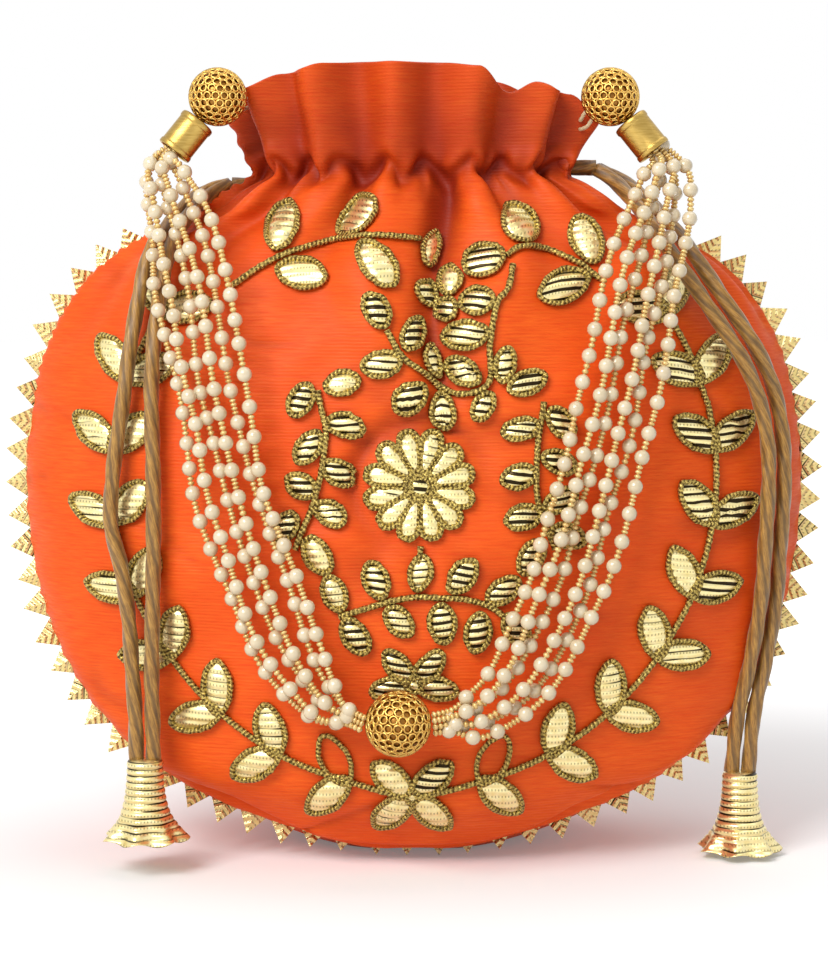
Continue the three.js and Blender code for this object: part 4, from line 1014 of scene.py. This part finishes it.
# Each spray has its vines, and its leaves as middle, heading in degrees, length and width
SPRAYS = {
    "side_spray_left": (
        [[(-31.5, 89), (-27.5, 99), (-24.5, 110), (-23.5, 120), (-25.5, 131)]],
        [(-19, 133, 15, 11, 7.6), (-30, 128.5, 60, 11, 7.6), (-18.4, 122, 172, 11.5, 7.8),
         (-28, 116, 55, 11, 7.4), (-20, 109.5, -35, 11, 7.6), (-29.8, 106, 150, 10, 7.6),
         (-22.2, 98.5, -40, 10.5, 8), (-34, 95, 60, 10, 7.6), (-25.5, 87.5, -62, 12, 8)]),
    "side_spray_right": (
        [[(37.5, 89), (34, 97.5), (32.5, 106), (32.8, 116), (34.5, 128)]],
        [(30, 133, 22, 12, 7.6), (28.4, 121, 14, 11.5, 7.6), (27.9, 108.5, 14, 11, 7.4),
         (29, 97.5, 15, 11.5, 7.8), (31, 87, 62, 11.5, 7.8), (39, 122.5, -50, 11, 7.6),
         (38.5, 112, -28, 11, 7.4), (39, 102, 28, 11, 7.4), (41, 92.5, -20, 11, 7.6)]),
    "lower_spray": (
        [[(-20, 71), (-13, 73.2), (-4.4, 75.9), (6.7, 76.5), (14, 75.8), (20.6, 73.5), (26, 69)],
         [(1.9, 90), (1.7, 85)]],
        [(-10, 81, 112, 11.5, 8), (1.7, 83, 76, 11, 7.8), (12.8, 82.2, 52, 12, 8),
         (23.6, 78, 36, 12, 7.8), (-4, 70, -52, 11, 8), (7.6, 69.6, -86, 12, 8.4),
         (16.9, 67, 80, 12, 8.2), (-21.2, 77.4, 114, 11.5, 7.6), (-15.6, 66, -56, 12, 7.8),
         (27, 67.5, -55, 11, 7.4)]),
    "top_cluster": (
        [[(26.5, 164), (25, 158), (22.3, 154.5), (20.3, 143.2), (19.7, 132.9), (12.6, 130.1), (5, 132.9)],
         [(-7.4, 147), (-3.5, 140.4), (2.6, 135.2), (6.9, 131)]],
        [(-10, 152.2, 115, 11, 7.6), (-8.5, 138.2, 10, 12, 8.2), (-0.7, 146, 75, 10.5, 7),
         (-1.4, 129.2, 38, 10.5, 8.4), (7.6, 125.4, 100, 11, 8.6), (5, 138.8, 110, 10.5, 6.6),
         (13.3, 136.2, -36, 11, 8), (18.3, 127, 55, 9.5, 6.6), (24, 138, 82, 11, 6.4),
         (14.1, 145.8, 10, 13, 8.6), (3.4, 156.6, 135, 9.5, 7), (10, 160, 80, 9, 7),
         (17, 154.6, 15, 10.5, 8), (9, 152.4, 40, 7.6, 7.2), (18.9, 165.3, 25, 13, 10)]),
    "top_spray_left": (
        [[(-49.5, 158), (-41, 163.8), (-32.5, 168), (-21, 170.8), (-10.6, 171.9), (1.1, 171.2)]],
        [(-35.6, 175, 70, 15.5, 9.6), (-15.5, 177.4, 46, 15.5, 9.8), (-30, 161.8, -8, 15.5, 9.4),
         (-9.8, 164.3, -52, 15.5, 9.6), (4.2, 168.6, 80, 11, 6.6)]),
    "top_spray_right": (
        [[(25, 166.5), (28.5, 168.8), (34, 168.6), (40.5, 166.4), (46, 163.5), (50.5, 160)]],
        [(28.7, 175.6, 128, 13.5, 11), (46.8, 171, 112, 15, 9.4), (40, 158.3, 20, 16, 9.8)])}
for spray_name, (vines, leaves) in SPRAYS.items():
    spray_mesh, _, _ = start_gota()
    for spots in vines:
        vine(spray_mesh, spots)
    for x, z, heading, length, width in leaves:
        leaf(spray_mesh, (x, z), math.radians(heading), length, width)
    finish_gota(spray_name, spray_mesh)

# Wreath: a long vine up each side of the front, set in from the seam, with leaves in pairs. The first
# inner leaf on each side is only an outline of thread. Its angles are in degrees from straight down.
WREATH_INSET = 22
WREATH_FLOOR = 24
WREATH_DRAW_IN = 9
WREATH_ANGLES = (11, 122)
WREATH_PAIRS = 9
WREATH_FIRST_SHARE = 0.1
WREATH_LAST_SHARE = 0.8
WREATH_LEANS = (-58, 48)
WREATH_POINT = 1.35


def route_at(route, share):
    """The place and the heading at a share of a flat route."""
    i = round(share * (len(route) - 1))
    inner = min(max(i, 1), len(route) - 2)
    ahead = route[inner + 1] - route[inner - 1]
    return Vector((route[i].x, route[i].z)), math.atan2(ahead.z, ahead.x)


for side_name, side in SIDES.items():
    spots = []
    for i in range(2 * WREATH_PAIRS + 1):
        share = i / (2 * WREATH_PAIRS)
        turn = math.radians(mix(*WREATH_ANGLES, share))
        drop = WIDEST_HEIGHT - WREATH_FLOOR - WREATH_DRAW_IN * share
        reach = drop if math.cos(turn) > 0 else NECK_HEIGHT - WIDEST_HEIGHT
        half_width = BAG_HALF_WIDTH - WREATH_INSET - WREATH_DRAW_IN * share
        spots.append((side * half_width * math.sin(turn), WIDEST_HEIGHT - reach * math.cos(turn)))
    wreath_mesh, _, _ = start_gota()
    route = vine(wreath_mesh, spots)
    vine(wreath_mesh, [spots[0], (side * 9, 23.4), (side * 2 - 0.5, 22)])
    for k in range(WREATH_PAIRS):
        base, heading = route_at(route, (k + WREATH_FIRST_SHARE) / (WREATH_PAIRS - WREATH_LAST_SHARE))
        for lean in WREATH_LEANS:
            towards = heading + side * math.radians(lean)
            stalk = Vector((math.cos(towards), math.sin(towards))) * (LEAF_LENGTH / 2 - VINE_DIAMETER)
            leaf(wreath_mesh, base + stalk, towards, LEAF_LENGTH, LEAF_WIDTH, ribbon=lean < 0 or k > 0,
                 pointed=WREATH_POINT)
    finish_gota(f"wreath_{side_name}", wreath_mesh)

# Flowers: petals of ribbon round a middle disc. The large one pulls the silk in behind it. Each has its
# middle, its petals' turns in degrees, their length and width, the disc's radius, and the petals' form.
FLOWERS = {
    "centre_flower": ((FLOWER_X, FLOWER_HEIGHT), range(15, 360, 30), 14, 7, 5, 0.85, 0.38),
    "ball_flower": ((0, 52.9), (50, 130, 190, 350), 12.5, 7.4, 3, 1.2, 0),
    "bottom_flower": ((-0.5, 21.9), (42, 138, 222, 318), 15, 9, 2.5, 1.3, 0)}
PETAL_START = 0.6
for flower_name, (middle, turns, length, width, disc, pointed, flare) in FLOWERS.items():
    flower_mesh, _, _ = start_gota()
    for turn in turns:
        heading = math.radians(turn)
        towards = Vector((math.cos(heading), math.sin(heading)))
        petal = Vector(middle) + towards * (PETAL_START * disc + length / 2 - VINE_DIAMETER)
        leaf(flower_mesh, petal, heading, length, width, pointed=pointed, flare=flare)
    leaf(flower_mesh, middle, 0, 2 * disc, 2 * disc, pointed=1)
    finish_gota(flower_name, flower_mesh)

# Openwork balls: rings of gilded brass wire soldered edge to edge over an amber-gold core, so that small
# dark holes show all over. Two are tied to the frill's corners, one joins the strands in front.
BEAD_RADIUS = 8
BALL_RADIUS = 8.8
WIRE_RADIUS = 0.34
WIRE_SIDES = 4
CORE_INSET = 2.4 * WIRE_RADIUS
RING_SPREAD = 0.135
RING_STEPS = 8
BEAD_PLACE = Vector((53.5, -22.5, 210))
BALL_PLACE = Vector((-4.2, -61.6, 44))

# Gilded brass: a bright warm metal, darker and duller where the gilding is worn.
brass, tree, shader, wear = clouded("gilded_brass", "#b9862c", "#ffda82", 2.38, 3.0, {"Metallic": 1.0})
plug(shader, {"Roughness": add_node(tree, "MapRange", {"Value": wear, "To Min": 0.2, "To Max": 0.4})})
# Amber lacquer: a dark gold glow behind the wire.
amber = clouded("amber_core", "#6e420c", "#b9802a", 6.25, 2.0, {"Roughness": 0.3, "Metallic": 0.6})[0]


def on_side(place, side):
    """A place on the right, or its mirror image on the left."""
    return Vector((side * place.x, place.y, place.z))


def openwork_ball(name, centre, radius):
    lattice = bmesh.new()
    bmesh.ops.create_icosphere(lattice, subdivisions=3, radius=1)
    knots = [vertex.co.normalized() for vertex in lattice.verts]
    lattice.free()
    bm = bmesh.new()
    for out in knots:
        across = out.orthogonal().normalized()
        aside = out.cross(across)
        ring = []
        for k in range(RING_STEPS + 1):
            turn = 2 * math.pi * (k % RING_STEPS) / RING_STEPS
            sideways = across * math.cos(turn) + aside * math.sin(turn)
            spot = out * math.cos(RING_SPREAD) + sideways * math.sin(RING_SPREAD)
            ring.append(centre + spot * (radius - WIRE_RADIUS))
        sweep(bm, ring, WIRE_SIDES, WIRE_RADIUS, [p - centre for p in ring])
    core = bmesh.ops.create_icosphere(bm, subdivisions=3, radius=radius - CORE_INSET,
                                      matrix=Matrix.Translation(centre))["verts"]
    smooth(bm.faces)
    for face in {face for vertex in core for face in vertex.link_faces}:
        face.material_index = 1
    return fit(make_object("openwork_" + name, bm, brass, amber), "handle", name)


on_strands = {"left": [openwork_ball("handle_ball", BALL_PLACE, BALL_RADIUS)], "right": []}
for side_name, side in SIDES.items():
    on_strands[side_name].append(openwork_ball(f"bead_{side_name}", on_side(BEAD_PLACE, side), BEAD_RADIUS))

# End caps: short cups turned from brass and brushed, one under each ball, that hold the six strands. The
# outline gives the radius and the height from the closed end, round the rims and into the cup.
CAP_RADIUS = 5
CAP_WALL = 0.8
CAP_LENGTH = 11
CAP_BASE = 2
CAP_OUTLINE = [
    (0, 0), (CAP_RADIUS - 0.7, 0), (CAP_RADIUS - 0.2, 0.2), (CAP_RADIUS, 0.7), (CAP_RADIUS, 1.6),
    (CAP_RADIUS - 0.25, 1.9), (CAP_RADIUS - 0.25, CAP_LENGTH - 1.6), (CAP_RADIUS, CAP_LENGTH - 1.3),
    (CAP_RADIUS, CAP_LENGTH - 0.3), (CAP_RADIUS - 0.3, CAP_LENGTH), (CAP_RADIUS - CAP_WALL, CAP_LENGTH - 0.2),
    (CAP_RADIUS - CAP_WALL - 0.2, CAP_BASE), (0, CAP_BASE)]
CAP_STEPS = 40
CAP_BEVEL = 0.15
CAP_DIRECTION = Vector((0.62, -0.12, -0.775)).normalized()
CLEARANCE = 0.3
UPRIGHT = Vector((0, 0, 1))

# Brushed brass: a duller gold with fine level scratches that draw the shine out.
BRASS_DARK = "#94702c"
BRASS_LIGHT = "#d2b468"
SCRATCH_LENGTH = 3.33
SCRATCH_HEIGHT = 0.385

brushed, tree, shader = start_material("brushed_brass")
place = add_node(tree, "TexCoord", {}, "Object")
scratch_scale = [1 / (size * MM) for size in (SCRATCH_LENGTH, SCRATCH_LENGTH, SCRATCH_HEIGHT)]
scratch_place = add_node(tree, "Mapping", {"Vector": place, "Scale": scratch_scale})
scratch = add_node(tree, "TexNoise", {"Vector": scratch_place, "Scale": 1.0, "Detail": 3.0})
colour = add_node(tree, "Mix", {0: scratch, 6: linear(BRASS_DARK), 7: linear(BRASS_LIGHT)}, 2,
                  data_type="RGBA")
relief = add_node(tree, "Bump", {"Height": scratch, "Strength": 0.2, "Distance": 0.1 * MM})
plug(shader, {"Base Color": colour, "Normal": relief, "Metallic": 1.0, "Roughness": 0.36})

cap_seats = {}
for side_name, side in SIDES.items():
    down = on_side(CAP_DIRECTION, side)
    seat = on_side(BEAD_PLACE, side) + down * (BEAD_RADIUS + CLEARANCE)
    cap_seats[side_name] = (seat, down)
    cap_mesh = bmesh.new()
    corners = [cap_mesh.verts.new((radius, 0, height)) for radius, height in CAP_OUTLINE]
    edges = [cap_mesh.edges.new(pair) for pair in zip(corners, corners[1:])]
    bmesh.ops.spin(cap_mesh, geom=[*corners, *edges], cent=(0, 0, 0), axis=UPRIGHT, angle=2 * math.pi,
                   steps=CAP_STEPS, use_merge=True)
    bmesh.ops.remove_doubles(cap_mesh, verts=cap_mesh.verts, dist=1e-3)
    bmesh.ops.recalc_face_normals(cap_mesh, faces=cap_mesh.faces)
    smooth(cap_mesh.faces)
    turned = Matrix.Translation(seat) @ UPRIGHT.rotation_difference(down).to_matrix().to_4x4()
    bmesh.ops.transform(cap_mesh, matrix=turned, verts=cap_mesh.verts)
    node = f"cap_{side_name}"
    cap = fit(make_object("brass_" + node, cap_mesh, brushed), "handle", node)
    bevel = cap.modifiers.new("edges", "BEVEL")
    bevel.width = CAP_BEVEL * MM
    bevel.segments = 2
    bevel.limit_method = "ANGLE"
    on_strands[side_name].append(cap)

# Ties: doubled cream thread that is sewn through the frill and holds each openwork ball to its corner.
TIE_RADIUS = 0.55
TIE_FULLNESS = (0.85, 0.2)
TIE_TWIST = 2.2
TIE_STEP = 0.4
TIE_SIDES = 8
TIE_X = 46
TIE_HEIGHTS = {"left": 209, "right": 203}
TIE_DROPS = (-1.2, 1.2)
TIE_SAG = 0.8
TIE_IN_BALL = 0.4
TIE_IN_SILK = 1.5

# Cream cotton thread: matt, with darker flecks along it. The map gives the way along it in millimetres.
THREAD_DARK = "#b99a5e"
THREAD_LIGHT = "#efe2c2"
FLECK_LENGTH = 0.333

thread, tree, shader = start_material("cream_thread")
place = add_node(tree, "UVMap", {})
flecks = add_node(tree, "TexNoise", {"Vector": place, "Scale": 1 / FLECK_LENGTH, "Detail": 2.0})
colour = add_node(tree, "Mix", {0: flecks, 6: linear(THREAD_DARK), 7: linear(THREAD_LIGHT)}, 2,
                  data_type="RGBA")
plug(shader, {"Base Color": colour, "Roughness": 0.6})


def tie_radius(reach, turn):
    return TIE_RADIUS * (TIE_FULLNESS[0] + TIE_FULLNESS[1] * abs(math.cos(turn - TIE_TWIST * reach)))


for side_name, side in SIDES.items():
    bead = on_side(BEAD_PLACE, side)
    tie_mesh = bmesh.new()
    for drop in TIE_DROPS:
        knot, out = lay(side * TIE_X, TIE_HEIGHTS[side_name] + drop, TIE_RADIUS)
        from_ball = bead + (knot - bead).normalized() * (BEAD_RADIUS - TIE_IN_BALL)
        middle = from_ball.lerp(knot, 0.5) + Vector((0, -TIE_SAG, drop))
        route = smooth_route([from_ball, middle, knot, knot - out * TIE_IN_SILK], TIE_STEP)
        sweep(tie_mesh, route, TIE_SIDES, tie_radius)
    node = f"tie_{side_name}"
    fit(make_object("thread_" + node, tie_mesh, thread), "bag", node)

# Pearl strands: six strings on each side of cream glass pearls with small champagne seed beads between
# them. They leave the cap together, spread over the belly and meet at the ball in front.
STRANDS = 6
PEARL_RADIUS = 2.1
PEARL_PITCH = 7.9
PITCH_SHARES = (0.82, 1.12)
PEARL_GRID = (12, 8)
SEED_RADIUS = 1.0
SEED_LENGTH = 1.23
SEED_GRID = (8, 5)
THREAD_RADIUS = 0.35
THREAD_SIDES = 6
THREAD_IN_CAP = 4
THREAD_END = 13
STRAND_GAP = 4.6
STRAND_SPREAD = 3.9
STRAND_STACK = 2.2
STACK_SHARES = (0.05, 0.3)
STRAND_WANDER = 1.7
WANDER_SHARES = (0.03, 0.15)
WANDER_WAVES = 6
WANDER_STEP = 3.1
END_CLOSENESS = 0.45
END_TILT = 60
FULL_SPREAD_SHARE = 0.3
BUNDLES = {
    "left": [(-66, -28.5, 183), (-62, -35, 171), (-59.5, -41, 160), (-56, -47.6, 142), (-51.5, -50.2, 121),
             (-48, -52.2, 102.5), (-41, -54.2, 81.6), (-33.5, -55, 63), (-23.5, -56.5, 49)],
    "right": [(67, -29, 183), (63.5, -35.5, 171), (59.5, -43, 156), (54, -48.2, 130),
              (47, -52.4, 103), (39, -54.4, 77), (29, -55.4, 57), (17, -57, 46.5)]}

# Glass pearl: cream glass under a clear pearly coat, with a soft cloud and a small sharp shine.
pearl = clouded("glass_pearl", "#cdb68c", "#f1e3c4", 7.69, 2.0,
                {"Roughness": 0.22, "Coat Weight": 0.9, "Coat Roughness": 0.12})[0]
# Lined glass seed beads: champagne gold, uneven and half like metal.
seed_glass = clouded("champagne_seed_bead", "#c8963c", "#fbe3a2", 2.0, 1.0,
                     {"Roughness": 0.2, "Metallic": 0.35})[0]


def way_out(point):
    """The way out of the pouch at a place beside it."""
    return Vector((point.x / BAG_HALF_WIDTH ** 2, point.y / BELLY_DEPTH ** 2,
                   (point.z - WIDEST_HEIGHT) / BAG_HALF_WIDTH ** 2)).normalized()


def strand_route(bundle, number, side):
    """One strand's way beside the middle of its bundle: close at both ends, spread and stacked between."""
    length = float(len(bundle) - 1)
    route = []
    for i, point in enumerate(bundle):
        along = (bundle[min(i + 1, len(bundle) - 1)] - bundle[max(i - 1, 0)]).normalized()
        out = way_out(point)
        across = out.cross(along).normalized()
        share = i / length
        from_end = min(share, 1 - share)
        tilt = math.radians(END_TILT) * (1 - ease(from_end, 0, FULL_SPREAD_SHARE))
        draw = mix(END_CLOSENESS, 1, ease(from_end * length, THREAD_IN_CAP, THREAD_END))
        wave = noise.noise(Vector((share * WANDER_WAVES, number * WANDER_STEP, side)))
        wander = STRAND_WANDER * ease(from_end, *WANDER_SHARES) * wave
        aside = draw * STRAND_SPREAD * math.cos(tilt) * (number - (STRANDS - 1) / 2) + wander
        stacked = STRAND_GAP * math.sin(tilt) + STRAND_STACK * ease(from_end, *STACK_SHARES)
        layer = number % 2 - 0.5 * (1 - draw)
        route.append(point + across * aside + out * draw * stacked * layer)
    return route


for side_name, side in SIDES.items():
    seat, down = cap_seats[side_name]
    starts = [seat + down * (CAP_LENGTH - THREAD_IN_CAP), seat + down * (CAP_LENGTH + THREAD_IN_CAP)]
    ball_side = BALL_PLACE + Vector((side * (BALL_RADIUS + CLEARANCE), 0, 0))
    bundle = smooth_route([*starts, *BUNDLES[side_name], ball_side], 1)
    for number in range(STRANDS):
        pearls_at = [THREAD_IN_CAP + hand.uniform(0, PEARL_PITCH)]
        route = strand_route(bundle, number, side)
        strand_mesh = bmesh.new()
        sweep(strand_mesh, route, THREAD_SIDES, THREAD_RADIUS, None, 2)
        reach = [0]
        for start, end in zip(route, route[1:]):
            reach.append(reach[-1] + (end - start).length)
        while pearls_at[-1] + PITCH_SHARES[1] * PEARL_PITCH < reach[-1] - PEARL_RADIUS:
            pearls_at.append(pearls_at[-1] + PEARL_PITCH * hand.uniform(*PITCH_SHARES))
        beads = [(spot, PEARL_RADIUS, 1, PEARL_GRID, 0) for spot in pearls_at]
        for low, high in zip([-PEARL_RADIUS, *pearls_at], [*pearls_at, reach[-1] + PEARL_RADIUS]):
            room = high - low - 2 * PEARL_RADIUS
            seeds = max(round(room / SEED_LENGTH), 0)
            for k in range(seeds):
                spot = low + PEARL_RADIUS + room * (k + 0.5) / seeds
                beads.append((spot, SEED_RADIUS, room / seeds / (2 * SEED_RADIUS), SEED_GRID, 1))
        for spot, radius, squeeze, (around, tall), material in beads:
            i = next(k for k, r in enumerate(reach) if r >= spot)
            middle = route[i - 1].lerp(route[i], (spot - reach[i - 1]) / (reach[i] - reach[i - 1]))
            turned = UPRIGHT.rotation_difference(route[i] - route[i - 1]).to_matrix().to_4x4()
            matrix = Matrix.Translation(middle) @ turned @ Matrix.Diagonal((1, 1, squeeze, 1))
            made = bmesh.ops.create_uvsphere(strand_mesh, u_segments=around, v_segments=tall, radius=radius,
                                             matrix=matrix)["verts"]
            for face in {face for vertex in made for face in vertex.link_faces}:
                face.smooth = True
                face.material_index = material
        node = f"pearl_strand_{side_name}_{number + 1}"
        strand = make_object("beaded_" + node, strand_mesh, pearl, seed_glass, thread)
        fit(strand, "handle", node)
